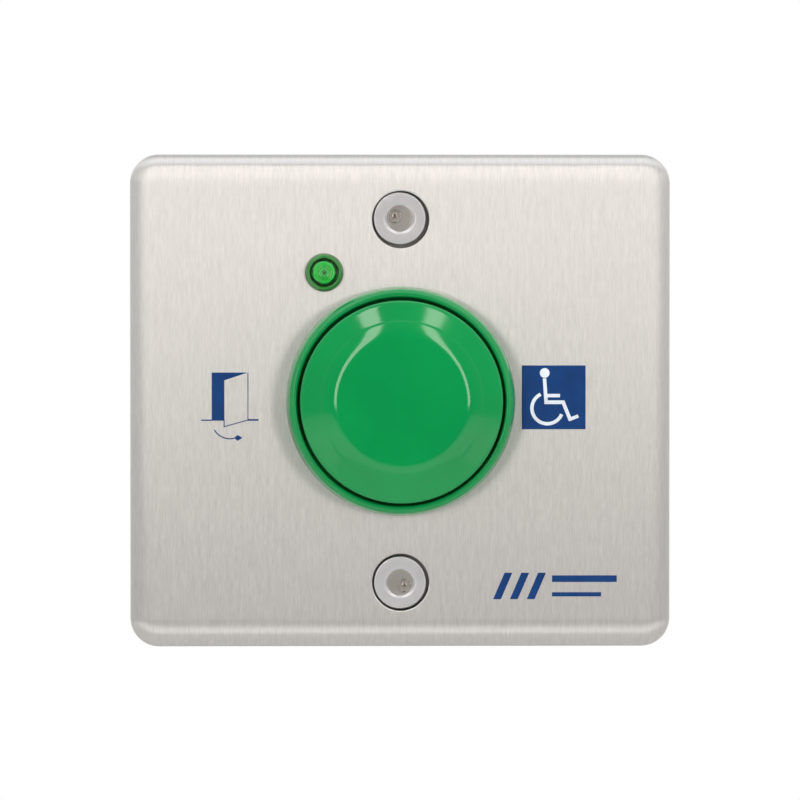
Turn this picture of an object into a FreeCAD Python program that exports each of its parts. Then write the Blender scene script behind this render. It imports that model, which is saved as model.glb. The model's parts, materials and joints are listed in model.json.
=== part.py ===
"""Accessible-door push button on a pressed stainless wall plate, as an assembly of separate pieces.

Frame: +Z up, +X to the right seen from the front, +Y into the wall. The origin is the centre of the
plate on the wall plane, so everything in front of the wall has a negative Y. Units are millimetres.

The pieces, from the front: a large green cap on a sliding plunger, in a green bezel whose threaded
barrel is clamped through the plate by a ring nut; a fork on the barrel's end that carries a lever
microswitch; a pilot lamp lens with its LED, board and terminal block; two security screws in welded
cups; and a foam seal inside the plate's rim.
"""

import FreeCAD, Part
import math
import os
import re

import Sketcher

DOC = FreeCAD.newDocument("push_button")

# ---------------------------------------------------------------------------------------------
# Driving dimensions: one row each in the spreadsheet, with an alias that expressions use
# ---------------------------------------------------------------------------------------------

SIZES = {
    # pressed front plate
    "plate_width": 90.0,
    "plate_height": 82.0,
    "plate_depth": 8.0,  # front face to wall
    "sheet_gauge": 1.5,
    "bend_radius": 3.5,  # outside of the bend between face and rim
    "corner_radius": 4.8,  # outside, seen from the front
    "rim_gap": 0.3,  # the rim stops this far short of the wall, where the seal takes over
    "seal_width": 3.0,
    "seal_chamfer": 1.6,
    "fit_gap": 0.1,
    "overcut": 1.0,  # how far a cut runs past the piece
    "cut_reach": 20.0,  # half the length of a cut that goes right through
    "weld_overlap": 0.1,  # how far fused pieces run into each other
    # wall screws and their cups
    "screw_pitch": 60.3,
    "cup_bore_radius": 4.75,
    "cup_outer_radius": 5.9,
    "cup_floor": 1.4,
    "cup_hole_radius": 1.95,
    "screw_head_radius": 4.35,
    "screw_head_height": 3.0,
    "screw_head_sink": 0.12,
    "screw_neck_radius": 1.3,
    "screw_neck_end": 1.2,  # ahead of the wall
    "screw_neck_taper": 0.45,
    "screw_thread_radius": 1.75,
    "screw_reach": 15.0,  # behind the wall
    "screw_point": 0.8,
    "drive_radius": 2.4,
    "drive_depth": 1.3,
    "drive_pin_radius": 1.35,
    "drive_pin_offset": 0.8,
    "drive_pin_sink": 0.3,
    "upper_drive_turn": -70.0,  # degrees about the screw's axis
    "lower_drive_turn": 126.0,
    # bezel and its threaded barrel
    "bezel_radius": 19.05,
    "bezel_top_radius": 18.05,
    "bezel_height": 6.0,
    "bezel_edge": 0.3,
    "bezel_lip_arc": 0.42,
    "bezel_side": 0.7,  # straight, between the slope and the seal
    "well_radius": 17.25,
    "well_floor": 1.8,  # ahead of the plate's face
    "bezel_seal": 0.5,
    "bezel_seal_radius": 17.6,
    "barrel_radius": 14.0,
    "barrel_bore_radius": 12.2,
    "barrel_end": 4.0,  # behind the wall
    "barrel_chamfer": 0.8,
    "web_gauge": 2.0,
    "guide_bore_radius": 7.1,
    "guide_outer_radius": 8.4,
    "guide_length": 6.0,
    "nut_radius": 17.5,
    "nut_height": 5.0,
    "nut_flange": 1.2,
    "nut_notch_width": 4.0,
    "nut_notch_depth": 1.6,
    # cap and plunger
    "press_travel": 3.0,
    "cap_radius": 16.75,
    "cap_side": 7.3,  # top of the cap's straight side, ahead of the plate's face
    "cap_edge": 0.7,
    "cap_edge_inset": 0.42,
    "cap_edge_rise": 0.56,
    "cap_step_radius": 13.1,
    "cap_step_height": 9.0,
    "crown_radius": 11.2,
    "crown_height": 10.05,
    "cap_height": 10.5,
    "cap_slope_arc": 14.0,
    "crown_arc": 130.0,
    "shoulder_arc": 3.6,
    "cap_wall": 1.65,
    "skirt_end": 5.0,
    "cap_ledge_radius": 14.4,
    "cap_ledge_height": 0.5,
    "flange_top": 6.6,
    "flange_end": 5.2,
    "flange_radius": 15.0,
    "stem_radius": 7.0,
    "stem_bore_radius": 5.4,
    "stem_end": 6.2,
    "stem_end_gauge": 1.4,
    "stem_clearance": 0.6,
    "pusher_radius": 1.9,
    "pusher_dome": 2.5,
    "pusher_length": 1.8,
    "hook_radius": 8.7,
    "hook_height": 1.55,
    "hook_width": 4.6,
    "hook_play": 0.05,
    "hook_land": 0.4,
    "hook_root": 1.0,
    "tongue_slot": 1.0,
    "tongue_length": 6.4,
    "tongue_end_gauge": 0.3,
    # return spring
    "spring_wire_radius": 0.5,
    "spring_radius": 10.2,
    "spring_turns": 6.0,
    "spring_end_gap": 0.06,
    # switch carrier
    "carrier_radius": 15.8,
    "carrier_bore_radius": 14.05,
    "carrier_start": 1.0,  # ahead of the wall
    "carrier_web": 1.8,
    "carrier_opening": 10.2,
    "fork_gauge": 1.8,
    "fork_width": 26.0,
    "fork_corner": 3.0,
    # lever microswitch
    "switch_length": 27.8,
    "switch_height": 15.9,
    "switch_width": 10.3,
    "switch_top": 12.7,  # behind the wall
    "switch_wall": 1.2,
    "switch_hole_radius": 1.55,
    "switch_hole_offset": 8.0,
    "switch_hole_rise": 3.5,
    "switch_boss_radius": 2.6,
    "hinge_offset": 12.0,
    "hinge_depth": 11.33,
    "hinge_pin_radius": 0.5,
    "hinge_knuckle_radius": 0.95,
    "hinge_ear_radius": 1.25,
    "hinge_ear_arc": 1.3,
    "hinge_ear_gauge": 1.0,
    "hinge_play": 0.06,
    "ear_foot": 0.2,
    "lever_length": 21.0,
    "lever_gauge": 0.5,
    "lever_width": 4.2,
    "lever_strip_start": 0.3,  # from the hinge, inside the knuckle
    "lever_rest_turn": 13.65,  # degrees
    "plunger_offset": 8.0,
    "plunger_radius": 1.1,
    "plunger_tip": 10.69,
    "plunger_dome": 1.5,
    "plunger_end": 15.96,
    "collar_radius": 1.6,
    "collar_start": 14.2,
    "collar_height": 0.9,
    # contacts and terminals inside and under the switch
    "blade_pivot_offset": 10.9,
    "blade_pivot_depth": 16.65,
    "blade_roll_radius": 0.5,
    "blade_gauge": 0.3,
    "blade_width": 4.0,
    "blade_reach": 22.5,
    "blade_rest_turn": 1.39,  # degrees
    "blade_strip_start": 0.2,  # from the pivot, inside the roll
    "contact_reach": 21.5,
    "closed_contact_gap": 1.14,  # from the blade's pivot, forward to the closed contact's face
    "open_contact_gap": 1.24,  # and back to the open contact's face
    "contact_radius": 0.8,
    "contact_height": 0.4,
    "tab_gauge": 0.5,
    "tab_play": 0.02,
    "tab_width": 4.8,
    "tab_end": 34.4,
    "tab_hole_radius": 0.8,
    "tab_hole_rise": 2.2,
    "closed_tab_place": 12.65,  # left of the button's axis
    "open_tab_place": 4.75,  # left of the button's axis
    "common_tab_place": 11.65,
    "open_arm_end": 4.5,
    "arm_inset": 0.3,
    "cradle_play": 0.12,
    # pilot lamp
    "lamp_x": -12.7,
    "lamp_z": 21.35,
    "lens_radius": 3.2,
    "lens_flange": 0.8,
    "lens_dome": 1.7,
    "lens_dome_arc": 6.1,
    "lens_barrel_radius": 2.95,
    "lens_barrel_end": 0.35,  # ahead of the wall
    "lens_bore_radius": 2.6,
    "lamp_hole_radius": 3.0,
    "clip_radius": 4.4,
    "clip_length": 3.4,
    "clip_taper": 0.6,
    "clip_play": 0.02,
    "led_radius": 2.5,
    "led_flange_radius": 2.9,
    "led_base": 0.8,
    "led_flange": 1.0,
    "led_tip": 7.75,
    "leg_pitch": 2.54,
    "leg_width": 0.5,
    "leg_end": 4.6,
    "leg_hole_radius": 0.375,
    "board_front": 2.0,
    "board_gauge": 1.6,
    "board_left": 9.8,  # from the lamp's axis
    "board_right": 3.8,
    "board_down": 3.5,
    "board_up": 6.0,
    "board_corner": 1.0,
    "resistor_length": 3.2,
    "resistor_width": 1.6,
    "resistor_height": 0.6,
    "resistor_rise": 3.4,
    "block_near": 2.8,  # terminal block, from the lamp's axis
    "block_far": 9.3,
    "block_low": 2.35,
    "block_shift": 0.6,
    "block_height": 8.5,
    "way_pitch": 3.5,
    "way_bore_radius": 1.45,
    "way_bore_depth": 4.0,
    "wire_hole_radius": 1.3,
    "wire_hole_depth": 3.2,
    "wire_hole_rise": 2.3,
    "clamp_screw_radius": 1.35,
    "clamp_screw_sink": 0.9,
    "clamp_slot": 0.5,
    "clamp_slot_depth": 0.6,
    # M3 screws and nuts that hold the switch in the fork
    "m3_radius": 1.48,
    "m3_bore_radius": 1.5,
    "m3_head_radius": 2.75,
    "m3_head_height": 1.9,
    "m3_slot": 0.7,
    "m3_slot_depth": 0.9,
    "m3_nut_flats": 5.5,
    "m3_nut_height": 2.4,
    "m3_reach": 10.2,
}

NUT_NOTCHES = 10
RUNS_PER_TURN = 12  # straight runs in one turn of the spring
MITRED = 1  # the sweep's name for sharp mitred corners
SMALL = 1e-3  # a length or a volume under this counts as none

SHEET = DOC.addObject("Spreadsheet::Sheet", "Sizes")
for row, (alias, size) in enumerate(SIZES.items(), start=1):
    SHEET.set(f"A{row}", alias)
    SHEET.set(f"B{row}", str(size))
    SHEET.setAlias(f"B{row}", alias)
DOC.recompute()


# ---------------------------------------------------------------------------------------------
# Helpers
# ---------------------------------------------------------------------------------------------


def bound(text):
    """The expression with each alias written as a cell of the sheet."""
    return re.sub(r"[A-Za-z_][A-Za-z_0-9]*", lambda m: f"Sizes.{m[0]}" if m[0] in SIZES else m[0], str(text))


def worth(text):
    """What an expression comes to now."""
    found = SHEET.evalExpression(bound(text))
    return float(getattr(found, "Value", found))


def new_body(label, x="0", z="0", y="0"):
    """An empty PartDesign body whose origin stands at x, y, z."""
    body = DOC.addObject("PartDesign::Body", label)
    body.Label = label
    for axis, place in (("x", x), ("y", y), ("z", z)):
        body.setExpression(f"Placement.Base.{axis}", bound(place))
    return body


def turn_body(body, axis, angle):
    """Turns a body about an axis through its origin by an expression in degrees."""
    body.Placement.Rotation = FreeCAD.Rotation(FreeCAD.Vector(*axis), 1)
    body.setExpression("Placement.Rotation.Angle", bound(angle))


def new_sketch(body, plane, lift="0"):
    """An empty sketch on one of the body's own planes, moved along its normal by lift."""
    sketch = body.newObject("Sketcher::SketchObject", f"{body.Name}_outline")
    support = next(f for f in body.Origin.OriginFeatures if f.Role == plane)
    sketch.AttachmentSupport = [(support, "")]
    sketch.MapMode = "FlatFace"
    sketch.setExpression("AttachmentOffset.Base.z", bound(lift))
    return sketch


def pin_point(sketch, geometry, position, x, y):
    """Fixes a point of the sketch at x, y, both expressions."""
    for kind, axis, text in (("DistanceX", -2, x), ("DistanceY", -1, y)):
        if str(text) == "0":
            sketch.addConstraint(Sketcher.Constraint("PointOnObject", geometry, position, axis))
            continue
        number = sketch.addConstraint(Sketcher.Constraint(kind, -1, 1, geometry, position, worth(text)))
        sketch.setExpression(f"Constraints[{number}]", bound(text))


def add_loop(sketch, corners):
    """A closed loop of (x, y) corners. Where a corner is (x, y, radius) an arc leaves it, which bulges
    to the left of the way the loop runs, or to the right if the radius is negative."""
    places = [FreeCAD.Vector(worth(corner[0]), worth(corner[1]), 0) for corner in corners]
    ends = []
    for i, corner in enumerate(corners):
        start, end = places[i], places[(i + 1) % len(corners)]
        if len(corner) == 2:
            ends.append((sketch.addGeometry(Part.LineSegment(start, end)), 1, 2))
            continue
        radius = worth(corner[2])
        half = (end - start) / 2
        left = FreeCAD.Vector(-half.y, half.x, 0).normalize()
        rise = abs(radius) - math.sqrt(radius**2 - half.Length**2)
        middle = start + half + left * math.copysign(rise, radius)
        if radius < 0:
            ends.append((sketch.addGeometry(Part.Arc(start, middle, end)), 1, 2))
        else:
            ends.append((sketch.addGeometry(Part.Arc(end, middle, start)), 2, 1))
    for i, (geometry, begin, finish) in enumerate(ends):
        following, its_begin, _ = ends[(i + 1) % len(ends)]
        sketch.addConstraint(Sketcher.Constraint("Coincident", geometry, finish, following, its_begin))
        pin_point(sketch, geometry, begin, corners[i][0], corners[i][1])
        if len(corners[i]) == 3:
            radius = abs(worth(corners[i][2]))
            number = sketch.addConstraint(Sketcher.Constraint("Radius", geometry, radius))
            sketch.setExpression(f"Constraints[{number}]", bound(f"abs({corners[i][2]})"))


def add_circle(sketch, x, y, radius):
    """A circle with its centre and radius bound to the sheet."""
    centre = FreeCAD.Vector(worth(x), worth(y), 0)
    number = sketch.addGeometry(Part.Circle(centre, FreeCAD.Vector(0, 0, 1), worth(radius)))
    pin_point(sketch, number, 3, x, y)
    held = sketch.addConstraint(Sketcher.Constraint("Radius", number, worth(radius)))
    sketch.setExpression(f"Constraints[{held}]", bound(radius))


def rectangle(x0, x1, y0, y1):
    """The corners of an upright rectangle."""
    return [(x0, y0), (x1, y0), (x1, y1), (x0, y1)]


def rounded(half_width, half_height, radius):
    """The corners of an upright rectangle about the origin, with its four corners rounded."""
    wide, tall, turn = half_width, half_height, f"-{radius}"
    return [
        (f"{radius} - {wide}", f"-{tall}"),
        (f"{wide} - {radius}", f"-{tall}", turn),
        (wide, f"{radius} - {tall}"),
        (wide, f"{tall} - {radius}", turn),
        (f"{wide} - {radius}", tall),
        (f"{radius} - {wide}", tall, turn),
        (f"-{wide}", f"{tall} - {radius}"),
        (f"-{wide}", f"{radius} - {tall}", turn),
    ]


def feature(body, kind, sketch, **settings):
    """Adds a sketch-based feature, recomputes, and makes sure that a cut took something away."""
    before = body.Shape.Volume if body.Tip else 0.0
    made = body.newObject(f"PartDesign::{kind}", f"{body.Name}_{kind}")
    made.Profile = sketch
    sketch.Visibility = False
    for name, given in settings.items():
        if isinstance(given, str) and name in ("Length", "Angle"):
            made.setExpression(name, bound(given))
        else:
            setattr(made, name, given)
    DOC.recompute()
    if kind in ("Pocket", "Groove", "Hole") and body.Shape.Volume > before - SMALL:
        raise RuntimeError(f"{made.Name} cut nothing")
    return made


def revolve(body, corners, kind="Revolution"):
    """Turns a half outline, (radius, y) corners, about the body's Y axis."""
    sketch = new_sketch(body, "XY_Plane")
    add_loop(sketch, corners)
    return feature(body, kind, sketch, ReferenceAxis=(sketch, ["V_Axis"]), Angle=360.0)


def prism(body, kind, plane, low, high, corners=None, circles=()):
    """A Pad, or a Pocket, between two planes low and high on the axis the sketch plane faces."""
    sketch = new_sketch(body, plane, f"-({high})" if plane == "XZ_Plane" else low)
    if corners:
        add_loop(sketch, corners)
    for circle in circles:
        add_circle(sketch, *circle)
    return feature(body, kind, sketch, Length=f"({high}) - ({low})", Reversed=kind == "Pocket")


def front_pad(body, start, end, corners=None, circles=()):
    """A prism from y = start to y = end, its outline given in X and Z."""
    return prism(body, "Pad", "XZ_Plane", start, end, corners, circles)


def front_pocket(body, start, end, corners=None, circles=()):
    """A prism-shaped cut from y = start to y = end, its outline given in X and Z."""
    return prism(body, "Pocket", "XZ_Plane", start, end, corners, circles)


def side_prism(body, kind, low, high, corners=None, circles=()):
    """A Pad or a Pocket between two heights z = low and z = high, its outline given in X and Y."""
    return prism(body, kind, "XY_Plane", low, high, corners, circles)


def through_holes(body, circles):
    """Round holes right through the body along Z."""
    side_prism(body, "Pocket", "-cut_reach", "cut_reach", circles=circles)


def dress(body, kind, size, wanted):
    """A Fillet or Chamfer of the size given, on the edges of the body for which wanted(edge) is true."""
    base = body.Tip
    names = [f"Edge{i}" for i, edge in enumerate(base.Shape.Edges, start=1) if wanted(edge)]
    if not names:
        raise RuntimeError(f"{body.Name}: no edge to {kind.lower()}")
    made = body.newObject(f"PartDesign::{kind}", f"{body.Name}_{kind}")
    made.Base = (base, names)
    made.setExpression("Radius" if kind == "Fillet" else "Size", bound(size))
    DOC.recompute()
    return made


def polar(body, cut, count):
    """Repeats a feature evenly about the body's Y axis."""
    pattern = body.newObject("PartDesign::PolarPattern", f"{body.Name}_pattern")
    pattern.Originals = [cut]
    pattern.Axis = (next(f for f in body.Origin.OriginFeatures if f.Role == "Y_Axis"), [""])
    pattern.Angle = 360.0
    pattern.Occurrences = count
    body.Tip = pattern
    DOC.recompute()
    return pattern


def box(label, x0, x1, y0, y1, z0, z1):
    """A Part box between six expressions."""
    made = DOC.addObject("Part::Box", label)
    for side, low, high in (("Length", x0, x1), ("Width", y0, y1), ("Height", z0, z1)):
        made.setExpression(side, bound(f"({high}) - ({low})"))
    for axis, low in (("x", x0), ("y", y0), ("z", z0)):
        made.setExpression(f"Placement.Base.{axis}", bound(low))
    return made


def rod(label, radius, x, y, z, length, along="z"):
    """A Part cylinder that starts at x, y, z and runs along +Z, or along +Y, or along +X."""
    made = DOC.addObject("Part::Cylinder", label)
    turned = {"z": (0, 0, 1, 0), "y": (1, 0, 0, -90), "x": (0, 1, 0, 90)}[along]
    made.Placement.Rotation = FreeCAD.Rotation(FreeCAD.Vector(*turned[:3]), turned[3])
    made.setExpression("Radius", bound(radius))
    made.setExpression("Height", bound(length))
    for axis, low in (("x", x), ("y", y), ("z", z)):
        made.setExpression(f"Placement.Base.{axis}", bound(low))
    return made


def joined(label, pieces):
    """Several overlapping Part objects fused into one solid."""
    made = DOC.addObject("Part::MultiFuse", label)
    made.Label = label
    made.Shapes = pieces
    made.Refine = True
    return made


def cut_from(label, base, tool):
    """One Part object with another taken away."""
    made = DOC.addObject("Part::Cut", label)
    made.Label = label
    made.Base = base
    made.Tool = tool
    made.Refine = True
    return made


def group(label, pieces):
    """Like pieces that share one node, still as separate solids."""
    made = DOC.addObject("Part::Compound", label)
    made.Label = label
    made.Links = pieces
    return made


def upright(edge):
    """True for a straight edge along Y, the corners of an outline seen from the front."""
    across = edge.BoundBox
    return across.YLength > SMALL and across.XLength < SMALL and across.ZLength < SMALL


def level_with(y):
    """A test for edges that lie wholly at one depth."""
    depth = worth(y)
    return lambda edge: abs(edge.BoundBox.YMin - depth) < SMALL and abs(edge.BoundBox.YMax - depth) < SMALL


# ---------------------------------------------------------------------------------------------
# Pressed stainless front plate, welded screw cups and foam seal
# ---------------------------------------------------------------------------------------------


def make_front_plate():
    """A shallow stainless tray, open at the back, with holes for the barrel, the lamp and two screws."""
    body = new_body("front_plate")
    outer = rounded("plate_width / 2", "plate_height / 2", "corner_radius")
    front_pad(body, "-plate_depth", "-rim_gap", outer)
    dress(body, "Fillet", "bend_radius", level_with("-plate_depth"))
    wide, tall = (f"(plate_{side} / 2 - sheet_gauge)" for side in ("width", "height"))
    inner = rounded(wide, tall, "(corner_radius - sheet_gauge)")
    front_pocket(body, "-plate_depth + sheet_gauge", "-rim_gap", inner)
    dress(body, "Fillet", "bend_radius - sheet_gauge", level_with("-plate_depth + sheet_gauge"))
    holes = [
        ("0", "0", "barrel_radius + fit_gap"),
        ("lamp_x", "lamp_z", "lamp_hole_radius"),
        ("0", "screw_pitch / 2", "cup_bore_radius"),
        ("0", "-screw_pitch / 2", "cup_bore_radius"),
    ]
    front_pocket(body, "-plate_depth - overcut", "-plate_depth + sheet_gauge + overcut", circles=holes)
    return body


def make_wall_seal():
    """A closed-cell foam frame stuck inside the rim; its back face is what meets the wall."""
    body = new_body("wall_seal")
    wide, tall = (f"(plate_{side} / 2 - sheet_gauge - fit_gap)" for side in ("width", "height"))
    front = "-plate_depth + sheet_gauge + fit_gap"
    front_pad(body, front, "0", rounded(wide, tall, "(corner_radius - sheet_gauge)"))
    dress(body, "Chamfer", "seal_chamfer", level_with(front))
    wide, tall = f"({wide} - seal_width)", f"({tall} - seal_width)"
    front_pocket(body, f"{front} - overcut", "overcut", rectangle(f"-{wide}", wide, f"-{tall}", tall))
    return body


def make_screw_cup(label, z):
    """A turned steel cup welded behind the plate; the screw's head sinks into it and clamps its floor."""
    seat = "-plate_depth + screw_head_sink + screw_head_height"
    body = new_body(label, z=z)
    revolve(
        body,
        [
            ("cup_hole_radius", seat),
            ("cup_bore_radius", seat),
            ("cup_bore_radius", "-plate_depth + sheet_gauge"),
            ("cup_outer_radius", "-plate_depth + sheet_gauge"),
            ("cup_outer_radius", f"{seat} + cup_floor"),
            ("cup_hole_radius", f"{seat} + cup_floor"),
        ],
    )
    return body


def make_security_screw(label, z, turn):
    """A captive screw: round head, round blind drive recess with an off-centre pin, thin neck, M3.5 end."""
    face = "-plate_depth + screw_head_sink"
    body = new_body(label, z=z)
    turn_body(body, (0, 1, 0), turn)
    revolve(
        body,
        [
            ("0", face),
            ("screw_head_radius", face),
            ("screw_head_radius", f"{face} + screw_head_height"),
            ("screw_neck_radius", f"{face} + screw_head_height"),
            ("screw_neck_radius", "-screw_neck_end"),
            ("screw_thread_radius", "-screw_neck_end + screw_neck_taper"),
            ("screw_thread_radius", "screw_reach - screw_point"),
            ("screw_thread_radius - screw_point", "screw_reach"),
            ("0", "screw_reach"),
        ],
    )
    front_pocket(body, f"({face}) - overcut", f"{face} + drive_depth", circles=[("0", "0", "drive_radius")])
    front_pad(
        body,
        f"{face} + drive_pin_sink",
        f"{face} + drive_depth",
        circles=[("0", "drive_pin_offset", "drive_pin_radius")],
    )
    return body


# ---------------------------------------------------------------------------------------------
# Bezel, ring nut and the seal under the bezel
# ---------------------------------------------------------------------------------------------


def ahead(height):
    """The y of a plane that stands this far in front of the plate's face."""
    return f"-(plate_depth + {height})"


def make_bezel():
    """Bezel flange, cap well, barrel and plunger guide, moulded in one."""
    body = new_body("bezel_housing")
    revolve(
        body,
        [
            ("well_radius", ahead("well_floor")),
            ("well_radius", ahead("bezel_height - bezel_edge")),
            ("well_radius + bezel_edge", ahead("bezel_height"), "-bezel_lip_arc"),
            ("bezel_top_radius - bezel_edge", ahead("bezel_height")),
            ("bezel_radius", ahead("bezel_seal + bezel_side")),
            ("bezel_radius", ahead("bezel_seal")),
            ("barrel_radius", ahead("bezel_seal")),
            ("barrel_radius", "barrel_end - barrel_chamfer"),
            ("barrel_radius - barrel_chamfer", "barrel_end"),
            ("barrel_bore_radius", "barrel_end"),
            ("barrel_bore_radius", "web_gauge"),
            ("guide_bore_radius", "web_gauge"),
            ("guide_bore_radius", "web_gauge - guide_length"),
            ("guide_outer_radius", "web_gauge - guide_length"),
            ("guide_outer_radius", "0"),
            ("barrel_bore_radius", "0"),
            ("barrel_bore_radius", ahead("well_floor")),
        ],
    )
    return body


def make_bezel_seal():
    """A flat rubber ring between the bezel's flange and the plate."""
    body = new_body("bezel_seal")
    circles = [("0", "0", "bezel_seal_radius"), ("0", "0", "barrel_radius + fit_gap")]
    front_pad(body, ahead("bezel_seal"), "-plate_depth", circles=circles)
    return body


def make_ring_nut():
    """The moulded nut on the barrel, with grip notches round its rim."""
    body = new_body("ring_nut")
    front, back = "-plate_depth + sheet_gauge", "-plate_depth + sheet_gauge + nut_height"
    circles = [("0", "0", "nut_radius"), ("0", "0", "barrel_radius + fit_gap / 2")]
    front_pad(body, front, back, circles=circles)
    half = "nut_notch_width / 2"
    outline = rectangle(f"-{half}", half, "nut_radius - nut_notch_depth", "nut_radius + overcut")
    notch = front_pocket(body, f"{front} + nut_flange", f"{back} + overcut", outline)
    polar(body, notch, NUT_NOTCHES)
    return body


# ---------------------------------------------------------------------------------------------
# Cap, plunger and return spring: what moves when the button is pressed
# ---------------------------------------------------------------------------------------------


def make_cap():
    """The green cap: a straight skirt, a sloping collar and a raised, slightly domed centre."""
    body = new_body("button_cap")
    revolve(
        body,
        [
            ("cap_radius - cap_wall", ahead("skirt_end")),
            ("cap_radius", ahead("skirt_end")),
            ("cap_radius", ahead("cap_side"), "cap_edge"),
            ("cap_radius - cap_edge_inset", ahead("cap_side + cap_edge_rise"), "cap_slope_arc"),
            ("cap_step_radius", ahead("cap_step_height"), "shoulder_arc"),
            ("crown_radius", ahead("crown_height"), "crown_arc"),
            ("0", ahead("cap_height")),
            ("0", ahead("cap_height - cap_wall")),
            ("crown_radius", ahead("crown_height - cap_wall")),
            ("cap_ledge_radius", ahead("flange_top + cap_ledge_height")),
            ("cap_ledge_radius", ahead("flange_top")),
            ("cap_radius - cap_wall", ahead("flange_top")),
        ],
    )
    return body


def make_plunger():
    """The white plunger: a flange bonded in the cap, a hollow stem, two snap tongues and a pusher."""
    body = new_body("cap_plunger")
    end = "stem_end"
    pusher_edge = f"{end} + pusher_length - pusher_dome + sqrt(pusher_dome^2 - pusher_radius^2)"
    revolve(
        body,
        [
            ("stem_bore_radius", ahead("flange_top")),
            ("flange_radius", ahead("flange_top")),
            ("flange_radius", ahead("flange_end")),
            ("stem_radius", ahead("flange_end")),
            ("stem_radius", end),
            ("pusher_radius", end),
            ("pusher_radius", pusher_edge, "-pusher_dome"),
            ("0", "stem_end + pusher_length"),
            ("0", "stem_end - stem_end_gauge"),
            ("stem_bore_radius", "stem_end - stem_end_gauge"),
        ],
    )
    half, outside = "hook_width / 2", "(hook_width / 2 + tongue_slot)"
    free = "stem_end - stem_end_gauge - tongue_end_gauge"
    root = f"{free} - tongue_length"
    tongue = [
        (f"-{outside}", root),
        (f"-{half}", root),
        (f"-{half}", f"{free} - tongue_slot"),
        (half, f"{free} - tongue_slot"),
        (half, root),
        (outside, root),
        (outside, free),
        (f"-{outside}", free),
    ]
    side_prism(body, "Pocket", "-cut_reach", "cut_reach", tongue)
    catch = "web_gauge + hook_play"
    for side in ("", "-"):
        hook = [
            (catch, f"{side}(stem_radius - hook_root)"),
            (catch, f"{side}hook_radius"),
            (f"{catch} + hook_land", f"{side}hook_radius"),
            (f"{catch} + hook_height", f"{side}stem_radius"),
            (f"{catch} + hook_height", f"{side}(stem_radius - hook_root)"),
        ]
        prism(body, "Pad", "YZ_Plane", f"-{half}", half, hook)
    return body


def make_spring():
    """A compression spring round the guide, from the barrel's web to the plunger's flange. Its wire
    follows a helix in short straight runs with mitred joints."""
    wire, radius, gap = worth("spring_wire_radius"), worth("spring_radius"), worth("spring_end_gap")
    front = worth("-(plate_depth + flange_end)") + wire + gap
    advance = -wire - gap - front
    runs = int(worth("spring_turns")) * RUNS_PER_TURN

    def on_helix(step):
        turn = 2 * math.pi * step / RUNS_PER_TURN
        return FreeCAD.Vector(radius * math.cos(turn), front + advance * step / runs, radius * math.sin(turn))

    path = Part.makePolygon([on_helix(step) for step in range(runs + 1)])
    start = Part.Circle(on_helix(0), (on_helix(1) - on_helix(0)).normalize(), wire)
    coil = path.makePipeShell([Part.Wire([start.toShape()])], True, False, MITRED)
    spring = DOC.addObject("Part::Feature", "return_spring")
    spring.Label = "return_spring"
    spring.Shape = coil
    spring.Placement = FreeCAD.Placement()
    return spring


# ---------------------------------------------------------------------------------------------
# Switch carrier, microswitch, lever and fasteners
# ---------------------------------------------------------------------------------------------


def make_carrier():
    """A ring on the barrel's end with a two-sided fork that holds the microswitch between its cheeks."""
    body = new_body("switch_carrier")
    shelf = "barrel_end + carrier_web"
    circles = [("0", "0", "carrier_radius"), ("0", "0", "carrier_bore_radius")]
    front_pad(body, "-carrier_start", "barrel_end", circles=circles)
    circles = [("0", "0", "carrier_radius"), ("0", "0", "carrier_opening")]
    front_pad(body, "barrel_end", shelf, circles=circles)
    near, far = "switch_width / 2 + fit_gap / 2", "switch_width / 2 + fit_gap / 2 + fork_gauge"
    end = "switch_top + switch_height"
    for low, high in ((near, far), (f"-({far})", f"-({near})")):
        cheek = rectangle("-fork_width / 2", "fork_width / 2", shelf, end)
        side_prism(body, "Pad", low, high, cheek)

    clearance = [("0", "0", "stem_radius + stem_clearance")]
    front_pocket(body, "barrel_end", "stem_end + press_travel + stem_clearance", circles=clearance)

    def cheek_corner(edge):
        span = edge.BoundBox
        crosswise = span.ZLength > SMALL and span.XLength < SMALL and span.YLength < SMALL
        return crosswise and abs(span.YMax - worth(end)) < SMALL

    dress(body, "Fillet", "fork_corner", cheek_corner)
    rows = f"({end}) - switch_hole_rise"
    holes = [(f"{side}switch_hole_offset", rows, "switch_hole_radius") for side in ("", "-")]
    through_holes(body, holes)
    return body


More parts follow.
